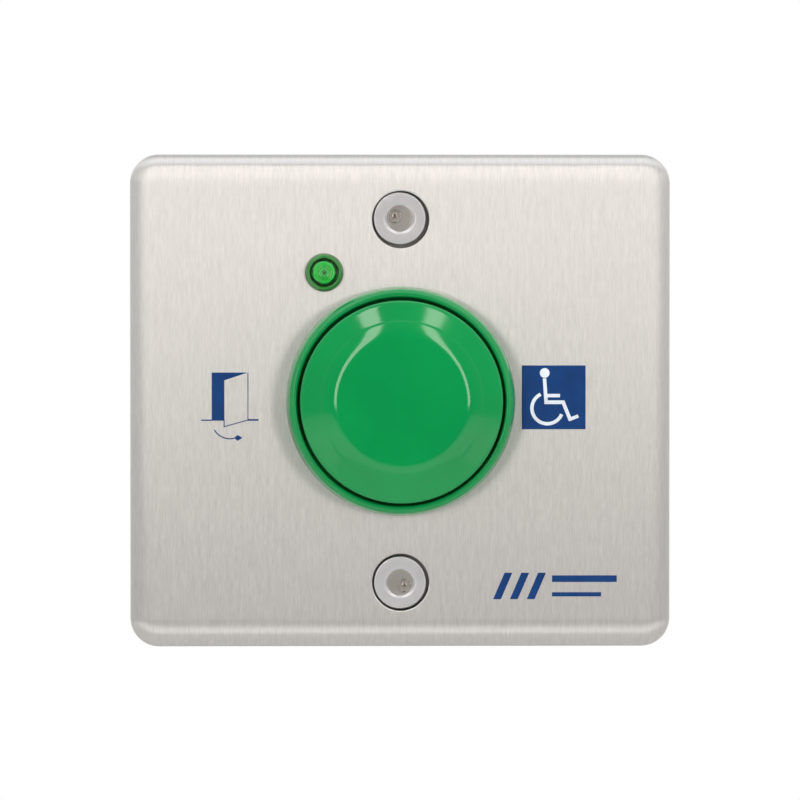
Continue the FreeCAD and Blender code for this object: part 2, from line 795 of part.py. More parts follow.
def make_switch_base():
    """The open moulded tray of the microswitch, with bosses, hinge ears and slots for the terminals."""
    body = new_body("switch_base")
    half, top, end = "switch_length / 2", "switch_top", "switch_top + switch_height"
    floor, rim = "-switch_width / 2", "switch_width / 2 - switch_wall"
    side_prism(body, "Pad", floor, rim, rectangle(f"-{half}", half, top, end))
    inside = rectangle(
        f"-({half} - switch_wall)", f"{half} - switch_wall", f"{top} + switch_wall", f"({end}) - switch_wall"
    )
    side_prism(body, "Pocket", f"{floor} + switch_wall", f"{rim} + overcut", inside)
    rows = f"({end}) - switch_hole_rise"
    spots = [f"{side}switch_hole_offset" for side in ("", "-")]
    side_prism(body, "Pad", floor, rim, circles=[(x, rows, "switch_boss_radius") for x in spots])
    through_holes(body, [(x, rows, "switch_hole_radius") for x in spots])
    ear = "lever_width / 2 + fit_gap"
    for low, high in ((ear, f"{ear} + hinge_ear_gauge"), (f"-({ear} + hinge_ear_gauge)", f"-({ear})")):
        outline = [
            ("-hinge_offset - hinge_ear_radius", "switch_top + ear_foot"),
            ("-hinge_offset - hinge_ear_radius", "hinge_depth", "-hinge_ear_arc"),
            ("-hinge_offset + hinge_ear_radius", "hinge_depth"),
            ("-hinge_offset + hinge_ear_radius", "switch_top + ear_foot"),
        ]
        side_prism(body, "Pad", low, high, outline)
    through_holes(body, [("-hinge_offset", "hinge_depth", "hinge_pin_radius")])
    bore = [("-plunger_offset", "0", "plunger_radius + hinge_play")]
    front_pocket(body, f"{top} - overcut", f"{top} + switch_wall + overcut", circles=bore)
    wide = "(tab_width / 2 + tab_play)"
    for x in TAB_PLACES.values():
        slot = rectangle(f"{x} - tab_play", f"{x} + tab_gauge + tab_play", f"-{wide}", wide)
        front_pocket(body, f"({end}) - switch_wall - overcut", f"({end}) + overcut", slot)
    return body


def make_switch_cover():
    """The flat lid of the microswitch."""
    body = new_body("switch_cover")
    half, top, end = "switch_length / 2", "switch_top", "switch_top + switch_height"
    low, high = "switch_width / 2 - switch_wall", "switch_width / 2"
    side_prism(body, "Pad", low, high, rectangle(f"-{half}", half, top, end))
    row = f"{end} - switch_hole_rise"
    holes = [(f"{side}switch_hole_offset", row, "switch_hole_radius") for side in ("", "-")]
    through_holes(body, holes)
    return body


def make_lever():
    """The sprung-steel lever with its rolled knuckle, raised to where the pusher holds it at rest."""
    body = new_body("switch_lever", x="-hinge_offset", y="hinge_depth")
    turn_body(body, (0, 0, -1), "lever_rest_turn")
    half = "lever_width / 2"
    side_prism(body, "Pad", f"-{half}", half, circles=[("0", "0", "hinge_knuckle_radius")])
    strip = rectangle("lever_strip_start", "lever_length", "-lever_gauge / 2", "lever_gauge / 2")
    side_prism(body, "Pad", f"-{half}", half, strip)
    bore = [("0", "0", "hinge_pin_radius + hinge_play")]
    through_holes(body, bore)
    return body


def make_switch_plunger():
    """The small plunger between the lever and the contact blade, kept in by a collar."""
    body = new_body("switch_plunger", x="-plunger_offset")
    shoulder = "plunger_tip + plunger_dome - sqrt(plunger_dome^2 - plunger_radius^2)"
    revolve(
        body,
        [
            ("0", "plunger_tip", "-plunger_dome"),
            ("plunger_radius", shoulder),
            ("plunger_radius", "collar_start"),
            ("collar_radius", "collar_start"),
            ("collar_radius", "collar_start + collar_height"),
            ("plunger_radius", "collar_start + collar_height"),
            ("plunger_radius", "plunger_end"),
            ("0", "plunger_end"),
        ],
    )
    return body


def make_blade():
    """The moving contact: a blade with a rolled end that turns in the common terminal's cradle."""
    body = new_body("contact_blade", x="blade_pivot_offset", y="blade_pivot_depth")
    turn_body(body, (0, 0, 1), "blade_rest_turn")
    half = "blade_width / 2"
    side_prism(body, "Pad", f"-{half}", half, circles=[("0", "0", "blade_roll_radius")])
    strip = rectangle("-blade_reach", "-blade_strip_start", "-blade_gauge / 2", "blade_gauge / 2")
    side_prism(body, "Pad", f"-{half}", half, strip)
    thick = "blade_gauge / 2 + contact_height"
    front_pad(body, f"-({thick})", thick, circles=[("-contact_reach", "0", "contact_radius")])
    return body


# where each terminal's tab starts in X
TAB_PLACES = {
    "normally_closed_terminal": "-closed_tab_place",
    "normally_open_terminal": "-open_tab_place",
    "common_terminal": "common_tab_place",
}


def make_terminal(name, tab_front, arms, buttons=()):
    """A stamped terminal: a holed tab that leaves the back of the switch from y = tab_front, with flat
    arms inside the switch, each (x0, x1, y0, y1), and round contact buttons, each (x, y)."""
    x, half = TAB_PLACES[name], "tab_width / 2"
    pieces = [box(f"{name}_tab", x, f"{x} + tab_gauge", tab_front, "tab_end", f"-{half}", half)]
    for arm in arms:
        pieces.append(box(f"{name}_arm", *arm, f"arm_inset - {half}", f"{half} - arm_inset"))
    for button in buttons:
        height = "contact_height + weld_overlap"
        pieces.append(rod(f"{name}_button", "contact_radius", *button, "0", height, "y"))
    eye_row, through = "tab_end - tab_hole_rise", "tab_gauge + 2 * overcut"
    hole = rod(f"{name}_eye", "tab_hole_radius", f"{x} - overcut", eye_row, "0", through, "x")
    return cut_from(name, joined(f"{name}_solid", pieces), hole)


def make_terminals():
    """Normally closed, normally open and common terminals."""
    tip = "(blade_pivot_offset - contact_reach)"
    closed_back = "blade_pivot_depth - closed_contact_gap - contact_height"
    closed_front = f"{closed_back} - tab_gauge"
    closed = make_terminal(
        "normally_closed_terminal",
        closed_front,
        [(TAB_PLACES["normally_closed_terminal"], f"{tip} + contact_radius", closed_front, closed_back)],
        [(tip, f"{closed_back} - weld_overlap")],
    )
    open_front = "blade_pivot_depth + open_contact_gap + contact_height"
    opened = make_terminal(
        "normally_open_terminal",
        open_front,
        [(f"{tip} - contact_radius", "-open_arm_end", open_front, f"{open_front} + tab_gauge")],
        [(tip, "blade_pivot_depth + open_contact_gap")],
    )
    cradle = "(blade_roll_radius + cradle_play)"
    near, far = "blade_pivot_offset - blade_roll_radius", f"{TAB_PLACES['common_terminal']} + tab_gauge / 2"
    common = make_terminal(
        "common_terminal",
        f"blade_pivot_depth - {cradle} - tab_gauge",
        [
            (near, far, f"blade_pivot_depth - {cradle} - tab_gauge", f"blade_pivot_depth - {cradle}"),
            (near, far, f"blade_pivot_depth + {cradle}", f"blade_pivot_depth + {cradle} + tab_gauge"),
        ],
    )
    return [closed, opened, common]


def make_hinge_pin():
    """The pin through the two ears and the lever's knuckle."""
    length = "lever_width + 2 * fit_gap + 2 * hinge_ear_gauge"
    pin = rod("lever_pin", "hinge_pin_radius", "-hinge_offset", "hinge_depth", f"-({length}) / 2", length)
    pin.Label = "lever_pin"
    return pin


def make_switch_screw(label, side):
    """A slotted M3 pan-head screw through the fork and the switch."""
    cheek = "switch_width / 2 + fit_gap / 2 + fork_gauge"
    x, y = f"{side}switch_hole_offset", "switch_top + switch_height - switch_hole_rise"
    head = rod(f"{label}_head", "m3_head_radius", x, y, cheek, "m3_head_height")
    shank = rod(f"{label}_shank", "m3_radius", x, y, "-m3_reach", f"{cheek} + m3_reach + weld_overlap")
    slot = box(
        f"{label}_slot",
        f"{x} - m3_head_radius - overcut",
        f"{x} + m3_head_radius + overcut",
        f"{y} - m3_slot / 2",
        f"{y} + m3_slot / 2",
        f"{cheek} + m3_head_height - m3_slot_depth",
        f"{cheek} + m3_head_height + overcut",
    )
    return cut_from(label, joined(f"{label}_blank", [head, shank]), slot)


def make_switch_nut(label, side):
    """A plain M3 hexagon nut on the other cheek."""
    cheek = "switch_width / 2 + fit_gap / 2 + fork_gauge"
    row = "switch_top + switch_height - switch_hole_rise"
    body = new_body(label, x=f"{side}switch_hole_offset", y=row)
    across = "m3_nut_flats / 2"
    corner = f"{across} / cos(30)"
    upper = [(f"{corner} / 2", across), (f"-{corner} / 2", across)]
    lower = [(f"-{corner} / 2", f"-{across}"), (f"{corner} / 2", f"-{across}")]
    points = [(corner, "0"), *upper, (f"-{corner}", "0"), *lower]
    sketch = new_sketch(body, "XY_Plane", f"-({cheek}) - m3_nut_height")
    add_loop(sketch, points)
    add_circle(sketch, "0", "0", "m3_bore_radius")
    feature(body, "Pad", sketch, Length="m3_nut_height")
    return body


# ---------------------------------------------------------------------------------------------
# Pilot lamp: lens, clip, LED, board, resistor and terminal block
# ---------------------------------------------------------------------------------------------


def make_lens():
    """The clear green lens, a domed flange with a hollow barrel through the plate."""
    body = new_body("lamp_lens", "lamp_x", "lamp_z")
    revolve(
        body,
        [
            ("0", ahead("lens_dome"), "-lens_dome_arc"),
            ("lens_radius", ahead("lens_flange")),
            ("lens_radius", "-plate_depth"),
            ("lens_barrel_radius", "-plate_depth"),
            ("lens_barrel_radius", "-lens_barrel_end"),
            ("lens_bore_radius", "-lens_barrel_end"),
            ("lens_bore_radius", "-plate_depth"),
            ("0", "-plate_depth"),
        ],
    )
    return body


def make_lens_clip():
    """The push-on ring that holds the lens against the plate."""
    body = new_body("lamp_clip", "lamp_x", "lamp_z")
    front = "-plate_depth + sheet_gauge"
    revolve(
        body,
        [
            ("lens_barrel_radius + clip_play", front),
            ("clip_radius", front),
            ("clip_radius - clip_taper", f"{front} + clip_length"),
            ("lens_barrel_radius + clip_play", f"{front} + clip_length"),
        ],
    )
    return body


def make_led():
    """A 5 mm LED inside the lens."""
    body = new_body("pilot_led", "lamp_x", "lamp_z")
    revolve(
        body,
        [
            ("0", "-led_tip", "-led_radius"),
            ("led_radius", "-led_tip + led_radius"),
            ("led_radius", "led_base - led_flange"),
            ("led_flange_radius", "led_base - led_flange"),
            ("led_flange_radius", "led_base"),
            ("0", "led_base"),
        ],
    )
    return body


def make_led_legs():
    """The LED's two legs, from its base through the board."""
    half, z = "leg_width / 2", "lamp_z"
    legs = []
    for side in ("-", "+"):
        x = f"lamp_x {side} leg_pitch / 2"
        sides = (f"{x} - {half}", f"{x} + {half}")
        legs.append(box("led_leg", *sides, "led_base", "leg_end", f"{z} - {half}", f"{z} + {half}"))
    return group("led_legs", legs)


def make_board():
    """The small lamp board, which hangs on the LED's legs."""
    body = new_body("lamp_board", "lamp_x", "lamp_z")
    outline = rectangle("-board_left", "board_right", "-board_down", "board_up")
    front_pad(body, "board_front", "board_front + board_gauge", outline)
    dress(body, "Fillet", "board_corner", upright)
    holes = [(f"{side}leg_pitch / 2", "0", "leg_hole_radius") for side in ("", "-")]
    front_pocket(body, "board_front - overcut", "board_front + board_gauge + overcut", circles=holes)
    return body


def make_resistor():
    """The LED's series resistor, a surface-mounted chip."""
    back = "board_front + board_gauge"
    chip = box(
        "lamp_resistor",
        "lamp_x - resistor_length / 2",
        "lamp_x + resistor_length / 2",
        back,
        f"{back} + resistor_height",
        "lamp_z + resistor_rise",
        "lamp_z + resistor_rise + resistor_width",
    )
    chip.Label = "lamp_resistor"
    return chip


# the heights of the terminal block's two ways, from the lamp's axis
WAYS = ("block_low - block_shift - way_pitch / 2", "block_low - block_shift + way_pitch / 2")


def make_terminal_block():
    """A two-way terminal block with screw bores at the back and wire holes at its outer side."""
    body = new_body("terminal_block", "lamp_x", "lamp_z")
    front = "board_front + board_gauge"
    back = f"{front} + block_height"
    centre = "block_low - block_shift"
    outline = rectangle("-block_far", "-block_near", f"{centre} - way_pitch", f"{centre} + way_pitch")
    front_pad(body, front, back, outline)
    middle = "-(block_far + block_near) / 2"
    bores = [(middle, z, "way_bore_radius") for z in WAYS]
    front_pocket(body, f"{back} - way_bore_depth", f"{back} + overcut", circles=bores)
    holes = [(f"{front} + wire_hole_rise", z, "wire_hole_radius") for z in WAYS]
    prism(body, "Pocket", "YZ_Plane", "-block_far - overcut", "-block_far + wire_hole_depth", circles=holes)
    return body


def make_clamp_screw(label, z):
    """A slotted clamp screw in one way of the terminal block."""
    back = "board_front + board_gauge + block_height"
    middle = "lamp_x - (block_far + block_near) / 2"
    start, length = f"{back} - way_bore_depth", "way_bore_depth - clamp_screw_sink"
    barrel = rod(f"{label}_barrel", "clamp_screw_radius", middle, start, f"lamp_z + {z}", length, "y")
    slot = box(
        f"{label}_slot",
        f"{middle} - clamp_screw_radius - overcut",
        f"{middle} + clamp_screw_radius + overcut",
        f"{back} - clamp_screw_sink - clamp_slot_depth",
        back,
        f"lamp_z + {z} - clamp_slot / 2",
        f"lamp_z + {z} + clamp_slot / 2",
    )
    return cut_from(label, barrel, slot)


# ---------------------------------------------------------------------------------------------
# The assembly
# ---------------------------------------------------------------------------------------------

half_pitch = "screw_pitch / 2"
NODES = [
    make_front_plate(),
    make_wall_seal(),
    group(
        "screw_cups",
        [
            make_screw_cup("upper_cup", half_pitch),
            make_screw_cup("lower_cup", f"-{half_pitch}"),
        ],
    ),
    group(
        "security_screws",
        [
            make_security_screw("upper_screw", half_pitch, "upper_drive_turn"),
            make_security_screw("lower_screw", f"-{half_pitch}", "lower_drive_turn"),
        ],
    ),
    make_bezel(),
    make_bezel_seal(),
    make_ring_nut(),
    make_cap(),
    make_plunger(),
    make_spring(),
    make_carrier(),
    make_switch_base(),
    make_switch_cover(),
    make_lever(),
    make_hinge_pin(),
    make_switch_plunger(),
    make_blade(),
    *make_terminals(),
    group("switch_screws", [make_switch_screw("right_screw", ""), make_switch_screw("left_screw", "-")]),
    group("switch_nuts", [make_switch_nut("right_nut", ""), make_switch_nut("left_nut", "-")]),
    make_lens(),
    make_lens_clip(),
    make_led(),
    make_led_legs(),
    make_board(),
    make_resistor(),
    make_terminal_block(),
    group("clamp_screws", [make_clamp_screw(f"clamp_{i}", z) for i, z in enumerate(WAYS, start=1)]),
]

DOC.recompute()
for item in DOC.Objects:
    if "Invalid" in item.State or "Error" in item.State:
        raise RuntimeError(f"{item.Name} failed: {item.State}")

os.makedirs("parts", exist_ok=True)
for item in NODES:
    shape = item.Shape
    if shape.isNull() or not shape.isValid() or not shape.Solids:
        raise RuntimeError(f"{item.Label} has no valid solid")
    shape.exportStep(os.path.join("parts", f"{item.Label}.step"))
    print(f"{item.Label}: {len(shape.Solids)} solid(s), {shape.Volume:.1f} mm3")
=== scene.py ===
import json
import math

import bmesh
import bpy
import numpy as np
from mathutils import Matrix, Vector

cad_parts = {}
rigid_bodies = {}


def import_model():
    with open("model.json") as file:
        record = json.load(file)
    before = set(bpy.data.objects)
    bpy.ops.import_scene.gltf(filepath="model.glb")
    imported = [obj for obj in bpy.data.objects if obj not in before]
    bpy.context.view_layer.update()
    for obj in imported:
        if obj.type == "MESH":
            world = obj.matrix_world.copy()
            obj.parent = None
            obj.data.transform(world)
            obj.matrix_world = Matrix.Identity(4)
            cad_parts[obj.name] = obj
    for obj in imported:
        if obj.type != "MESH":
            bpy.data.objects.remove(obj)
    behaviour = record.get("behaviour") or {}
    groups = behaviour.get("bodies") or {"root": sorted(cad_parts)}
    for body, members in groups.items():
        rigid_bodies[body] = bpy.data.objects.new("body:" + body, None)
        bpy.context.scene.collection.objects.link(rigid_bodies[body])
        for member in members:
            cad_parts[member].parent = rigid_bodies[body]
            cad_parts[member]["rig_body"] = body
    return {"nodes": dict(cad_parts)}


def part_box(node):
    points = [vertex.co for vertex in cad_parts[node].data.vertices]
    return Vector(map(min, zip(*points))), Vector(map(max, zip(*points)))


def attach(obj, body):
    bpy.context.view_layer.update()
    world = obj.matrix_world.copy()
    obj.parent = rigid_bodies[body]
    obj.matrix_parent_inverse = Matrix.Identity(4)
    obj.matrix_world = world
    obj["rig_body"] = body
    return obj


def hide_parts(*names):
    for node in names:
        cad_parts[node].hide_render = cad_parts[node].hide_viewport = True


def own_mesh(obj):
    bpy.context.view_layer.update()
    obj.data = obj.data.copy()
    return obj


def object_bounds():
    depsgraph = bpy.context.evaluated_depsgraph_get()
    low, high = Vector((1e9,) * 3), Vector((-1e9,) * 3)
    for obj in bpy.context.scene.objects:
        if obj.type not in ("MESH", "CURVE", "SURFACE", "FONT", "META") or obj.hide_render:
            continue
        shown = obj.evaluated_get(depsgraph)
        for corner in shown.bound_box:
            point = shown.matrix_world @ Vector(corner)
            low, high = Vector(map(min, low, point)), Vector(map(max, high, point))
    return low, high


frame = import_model()
cad_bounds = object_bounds()

# ---------------------------------------------------------------------------------------------
# The studio: a dim room with a white backdrop behind the object, two tall strip lights in front
# of it, left and right, a broad soft light overhead, a bright table before it and a pale floor
# below. The long lens looks from slightly left of square and slightly above.
# ---------------------------------------------------------------------------------------------

MM = 0.001
STRIP_DISTANCE = 0.80  # metres in front of the wall plane
STRIP_NEAR, STRIP_FAR = 0.34, 0.60  # inner and outer edge, as a share of the distance
STRIP_LOW, STRIP_HIGH = -0.052, 1.45  # bottom and top edge, as a share of the distance
STRIP_SHIFT = 0.045  # both strips stand this share of the distance to the right
STRIP_RADIANCE = 6.0
OVERHEAD_PLACE, OVERHEAD_SIZE, OVERHEAD_RADIANCE = (0.0, -0.05, 0.95), (1.7, 0.95), 0.6
TABLE_PLACE, TABLE_SIZE, TABLE_RADIANCE = (0.0, -0.75, -0.235), (2.4, 1.0), 0.35
ROOM_FRONT, ROOM_BACK = 0.14, 0.8  # how bright the room is in front of the object and behind it
ROOM_FADE = (-0.88, -0.05)  # how far back a direction points where the room starts and ends to brighten
FRAME_WIDTH = 133.0 * MM
AIM_SHIFT = (-0.1 * MM, 0.17 * MM)  # how far the lens aims off the plate's middle, in X and Z
CAMERA_DISTANCE = 0.95
CAMERA_TURN, CAMERA_RISE = -1.3, 1.3  # degrees from square on
SENSOR_WIDTH = 36.0
FLOOR_DROP = 0.2  # metres from the plate's foot down to the floor
FLOOR_SIDE, FLOOR_FRONT, FLOOR_BACK = 4.0, -1.2, 1.0


def linear(code):
    """An sRGB colour written as six hex digits, as linear red, green, blue and 1: each channel c becomes
    c / 12.92 below 0.04045 and ((c + 0.055) / 1.055) to the power 2.4 above."""
    share = np.array([int(code[i : i + 2], 16) for i in (0, 2, 4)]) / 255.0
    made = np.where(share <= 0.04045, share / 12.92, ((share + 0.055) / 1.055) ** 2.4)
    return (*(float(channel) for channel in made), 1.0)


def add_node(tree, kind, settings=None, links=None):
    """Adds a shader node of a kind. settings maps a socket's or a property's name to its value, and links
    maps a socket's name or number to the (node, output name or number) that feeds it."""
    node = tree.nodes.new(f"ShaderNode{kind}")
    for name, value in (settings or {}).items():
        if isinstance(name, int) or name in node.inputs:
            node.inputs[name].default_value = value
        else:
            setattr(node, name, value)
    for name, (source, output) in (links or {}).items():
        tree.links.new(source.outputs[output], node.inputs[name])
    return node


def add_light(name, place, facing, size, radiance, tint):
    """A rectangular area light at place, which shines along facing. Its power is radiance times pi times
    its area."""
    width, height = size
    data = bpy.data.lights.new(name, "AREA")
    data.shape = "RECTANGLE"
    data.size, data.size_y = width, height
    data.energy = radiance * math.pi * width * height
    data.color = linear(tint)[:3]
    light = bpy.data.objects.new(name, data)
    bpy.context.collection.objects.link(light)
    light.location = place
    light.rotation_euler = (-Vector(facing)).to_track_quat("Z", "Y").to_euler()
    light.visible_camera = False


strip_size = ((STRIP_FAR - STRIP_NEAR) * STRIP_DISTANCE, (STRIP_HIGH - STRIP_LOW) * STRIP_DISTANCE)
strip_z = (STRIP_LOW + STRIP_HIGH) / 2 * STRIP_DISTANCE
for side, name in ((-1, "strip_left"), (1, "strip_right")):
    strip_x = (side * (STRIP_NEAR + STRIP_FAR) / 2 + STRIP_SHIFT) * STRIP_DISTANCE
    strip_place = (strip_x, -STRIP_DISTANCE, strip_z)
    add_light(name, strip_place, (0.0, 1.0, 0.0), strip_size, STRIP_RADIANCE, "fffaf4")
add_light("overhead", OVERHEAD_PLACE, (0.0, 0.0, -1.0), OVERHEAD_SIZE, OVERHEAD_RADIANCE, "ffffff")
add_light("table_bounce", TABLE_PLACE, (0.0, 0.0, 1.0), TABLE_SIZE, TABLE_RADIANCE, "fbfaf8")

world = bpy.data.worlds.new("studio")
bpy.context.scene.world = world
world.use_nodes = True
surround = world.node_tree
surround.nodes.clear()
bearing = add_node(surround, "TexCoord")
axes = add_node(surround, "SeparateXYZ", links={"Vector": (bearing, "Object")})
depth = add_node(
    surround,
    "MapRange",
    {
        "interpolation_type": "SMOOTHSTEP",
        "From Min": ROOM_FADE[0],
        "From Max": ROOM_FADE[1],
        "To Min": ROOM_FRONT,
        "To Max": ROOM_BACK,
    },
    {"Value": (axes, "Y")},
)
room = add_node(surround, "Background", {"Color": linear("f4f5f6")}, {"Strength": (depth, "Result")})
backdrop = add_node(surround, "Background", {"Color": linear("ffffff")})
seen = add_node(surround, "LightPath")
either = add_node(
    surround,
    "MixShader",
    links={0: (seen, "Is Camera Ray"), 1: (room, "Background"), 2: (backdrop, "Background")},
)
add_node(surround, "OutputWorld", links={"Surface": (either, "Shader")})
bpy.context.scene.view_settings.view_transform = "Standard"

lens = bpy.data.cameras.new("long_lens")
lens.sensor_width = SENSOR_WIDTH
lens.lens = SENSOR_WIDTH * CAMERA_DISTANCE / FRAME_WIDTH
camera = bpy.data.objects.new("long_lens", lens)
bpy.context.collection.objects.link(camera)
turn, rise = math.radians(CAMERA_TURN), math.radians(CAMERA_RISE)
towards = Vector((math.sin(turn) * math.cos(rise), -math.cos(turn) * math.cos(rise), math.sin(rise)))
target_low, target_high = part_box("front_plate")
aim = Vector((AIM_SHIFT[0], target_low.y, (target_low.z + target_high.z) / 2 + AIM_SHIFT[1]))
camera.location = aim + towards * CAMERA_DISTANCE
camera.rotation_euler = towards.to_track_quat("Z", "Y").to_euler()
bpy.context.scene.camera = camera


def new_material(name):
    """An empty node material and its tree."""
    material = bpy.data.materials.new(name)
    material.use_nodes = True
    material.node_tree.nodes.clear()
    return material, material.node_tree


def finish_material(tree, settings, links):
    """Ends a material with a Principled shader that has the given settings and links."""
    shader = add_node(tree, "BsdfPrincipled", settings, links)
    add_node(tree, "OutputMaterial", links={"Surface": (shader, "BSDF")})


def painted_floor():
    """Matte paint, in clouds of two near tones a third of a metre across."""
    material, tree = new_material("pale_floor_paint")
    place = add_node(tree, "TexCoord")
    cloud = add_node(tree, "TexNoise", {"Scale": 3.0, "Detail": 4.0}, {"Vector": (place, "Object")})
    tone = add_node(
        tree,
        "Mix",
        {"data_type": "RGBA", 6: linear("d9d8d5"), 7: linear("e3e2e0")},
        {0: (cloud, "Fac")},
    )
    finish_material(tree, {"Roughness": 0.75}, {"Base Color": (tone, 2)})
    return material


floor_mesh = bpy.data.meshes.new("floor")
floor_level = cad_bounds[0].z - FLOOR_DROP
floor_corners = [
    (-FLOOR_SIDE, FLOOR_FRONT, floor_level),
    (FLOOR_SIDE, FLOOR_FRONT, floor_level),
    (FLOOR_SIDE, FLOOR_BACK, floor_level),
    (-FLOOR_SIDE, FLOOR_BACK, floor_level),
]
floor_mesh.from_pydata(floor_corners, [], [(0, 1, 2, 3)])
floor = bpy.data.objects.new("floor", floor_mesh)
bpy.context.collection.objects.link(floor)
# matte floor paint: even and pale, so that it lights the object from below and draws no notice
floor_mesh.materials.append(painted_floor())

# ---------------------------------------------------------------------------------------------
# Front plate: a tray pressed from 1.5 mm stainless sheet, brushed up and down before it was
# pressed, with punched holes whose edges are just broken. It is held by the two wall screws.
# ---------------------------------------------------------------------------------------------

SHEET_GAUGE = 1.5
CORNER_RADIUS = 4.8
BEND_RADIUS = 3.5
SHOULDER_WIDTH = 2.4  # the panel starts to fall this far before the bend
SHOULDER_SLOPE = 12.0  # degrees, how steep the panel is where the bend begins
SHOULDER_LOSS = 0.15  # the outer bend is this much tighter than without a shoulder
RIM_BREAK, RIM_INNER_BREAK = 0.25, 0.2
HOLE_EDGE = 0.12
FLAT_MARGIN = 0.3  # a flat ring round each hole and inside the bend keeps the panel's shading flat
BARREL_HOLE, LENS_HOLE, CUP_BORE = 14.1, 3.0, 4.75
CUP_RADIUS = 5.9
CORNER_STEPS = 14
SMALLEST_CORNER = 0.2


def mm_box(node):
    """A CAD node's lowest and highest corner, in millimetres."""
    low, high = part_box(node)
    return np.array(low) / MM, np.array(high) / MM


def arc(centre, radius, start, end, steps):
    """Points centre + radius (cos a, sin a), with a from start to end in degrees."""
    a = np.radians(np.linspace(start, end, steps + 1))
    return np.stack([centre[0] + radius * np.cos(a), centre[1] + radius * np.sin(a)], axis=1)


def outline(half_width, half_height, corner, inset):
    """A rounded rectangle in X and Z, drawn in from its edge by inset: four arcs about the corners' own
    centres, each of radius corner - inset, but never under the smallest corner."""
    corner = max(corner, inset + SMALLEST_CORNER)
    corners = [(1, -1, -90), (1, 1, 0), (-1, 1, 90), (-1, -1, 180)]
    reach = (half_width - corner, half_height - corner)
    return np.concatenate(
        [
            arc((sx * reach[0], sz * reach[1]), corner - inset, start, start + 90, CORNER_STEPS)
            for sx, sz, start in corners
        ]
    )


def grid_faces(rows, columns, ring, loop):
    """Four-cornered faces (r, c), (r, c+1), (r+1, c+1), (r+1, c) of a grid. ring joins the last column to
    the first, and loop the last row to the first."""
    r, c = np.meshgrid(np.arange(rows - (not loop)), np.arange(columns - (not ring)), indexing="ij")
    r, c = r.ravel(), c.ravel()
    r2, c2 = (r + 1) % rows, (c + 1) % columns
    return np.stack([r * columns + c, r * columns + c2, r2 * columns + c2, r2 * columns + c], axis=1)


def add_grid(work, grid, ring=True, loop=False):
    """Adds a grid of points (rows, columns, 3), in millimetres, to a bmesh as a skin of faces."""
    rows, columns = grid.shape[:2]
    part = bpy.data.meshes.new("part")
    faces = grid_faces(rows, columns, ring, loop)
    part.from_pydata((grid.reshape(-1, 3) * MM).tolist(), [], faces.tolist())
    work.from_mesh(part)
    bpy.data.meshes.remove(part)


def finish_piece(work, name, material, body, nodes=(), sharp=32.0):
    """Welds a bmesh, turns its faces outwards, makes it a piece with a material, and hands it to the frame.
    Edges sharper than sharp degrees are shaded as edges."""
    bmesh.ops.remove_doubles(work, verts=work.verts, dist=0.0005 * MM)
    bmesh.ops.dissolve_degenerate(work, edges=work.edges, dist=0.0002 * MM)
    bmesh.ops.recalc_face_normals(work, faces=work.faces)
    mesh = bpy.data.meshes.new(name)
    work.to_mesh(mesh)
    work.free()
    mesh.shade_smooth()
    mesh.set_sharp_from_angle(angle=math.radians(sharp))
    mesh.materials.append(material)
    piece = bpy.data.objects.new(name, mesh)
    bpy.context.collection.objects.link(piece)
    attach(piece, body)
    if nodes:
        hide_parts(*nodes)
    return piece


def around(profile, centre, steps):
    """Turns a profile of (radius, y) points about a line along Y: x = centre x + r cos a and
    z = centre z + r sin a, with a once round in equal steps."""
    a = np.linspace(0.0, 2 * math.pi, steps, endpoint=False)
    profile = np.asarray(profile, float)
    r, y = profile[:, :1], profile[:, 1:]
    x, z = centre[0] + r * np.cos(a), centre[1] + r * np.sin(a)
    return np.stack([x, np.broadcast_to(y, x.shape), z], axis=2)


def fill_panel(work, loops, y):
    """Fills a flat panel at depth y, bounded by its first loop of (x, z) points and pierced by the rest."""
    edges = []
    for loop in loops:
        verts = [work.verts.new((x * MM, y * MM, z * MM)) for x, z in loop]
        edges += [work.edges.new((verts[i], verts[(i + 1) % len(verts)])) for i in range(len(verts))]
    bmesh.ops.triangle_fill(work, use_beauty=True, use_dissolve=False, edges=edges)


def eased_bend(width, slope, radius):
    """The outer skin's (inset, fall) points from the flat panel to the rim. Its steepness is slope times the
    square of the share of the shoulder's width, then rises evenly to 90 degrees over the bend, and the
    points are the running sums of its cosine and sine."""
    length = math.radians(90.0 - slope) * radius
    s = np.linspace(0.0, width + length, 400)
    steep = np.where(s < width, slope * (s / width) ** 2, slope + (90.0 - slope) * (s - width) / length)
    middle = np.radians(steep[1:] + steep[:-1]) / 2
    run = np.concatenate([[0.0], np.cumsum(np.cos(middle)) * s[1]])
    fall = np.concatenate([[0.0], np.cumsum(np.sin(middle)) * s[1]])
    kept = np.unique(np.concatenate([np.linspace(0, width, 8), width + np.linspace(0, length, 14)]))
    return np.stack([run[-1] - np.interp(kept, s, run), np.interp(kept, s, fall)], axis=1)


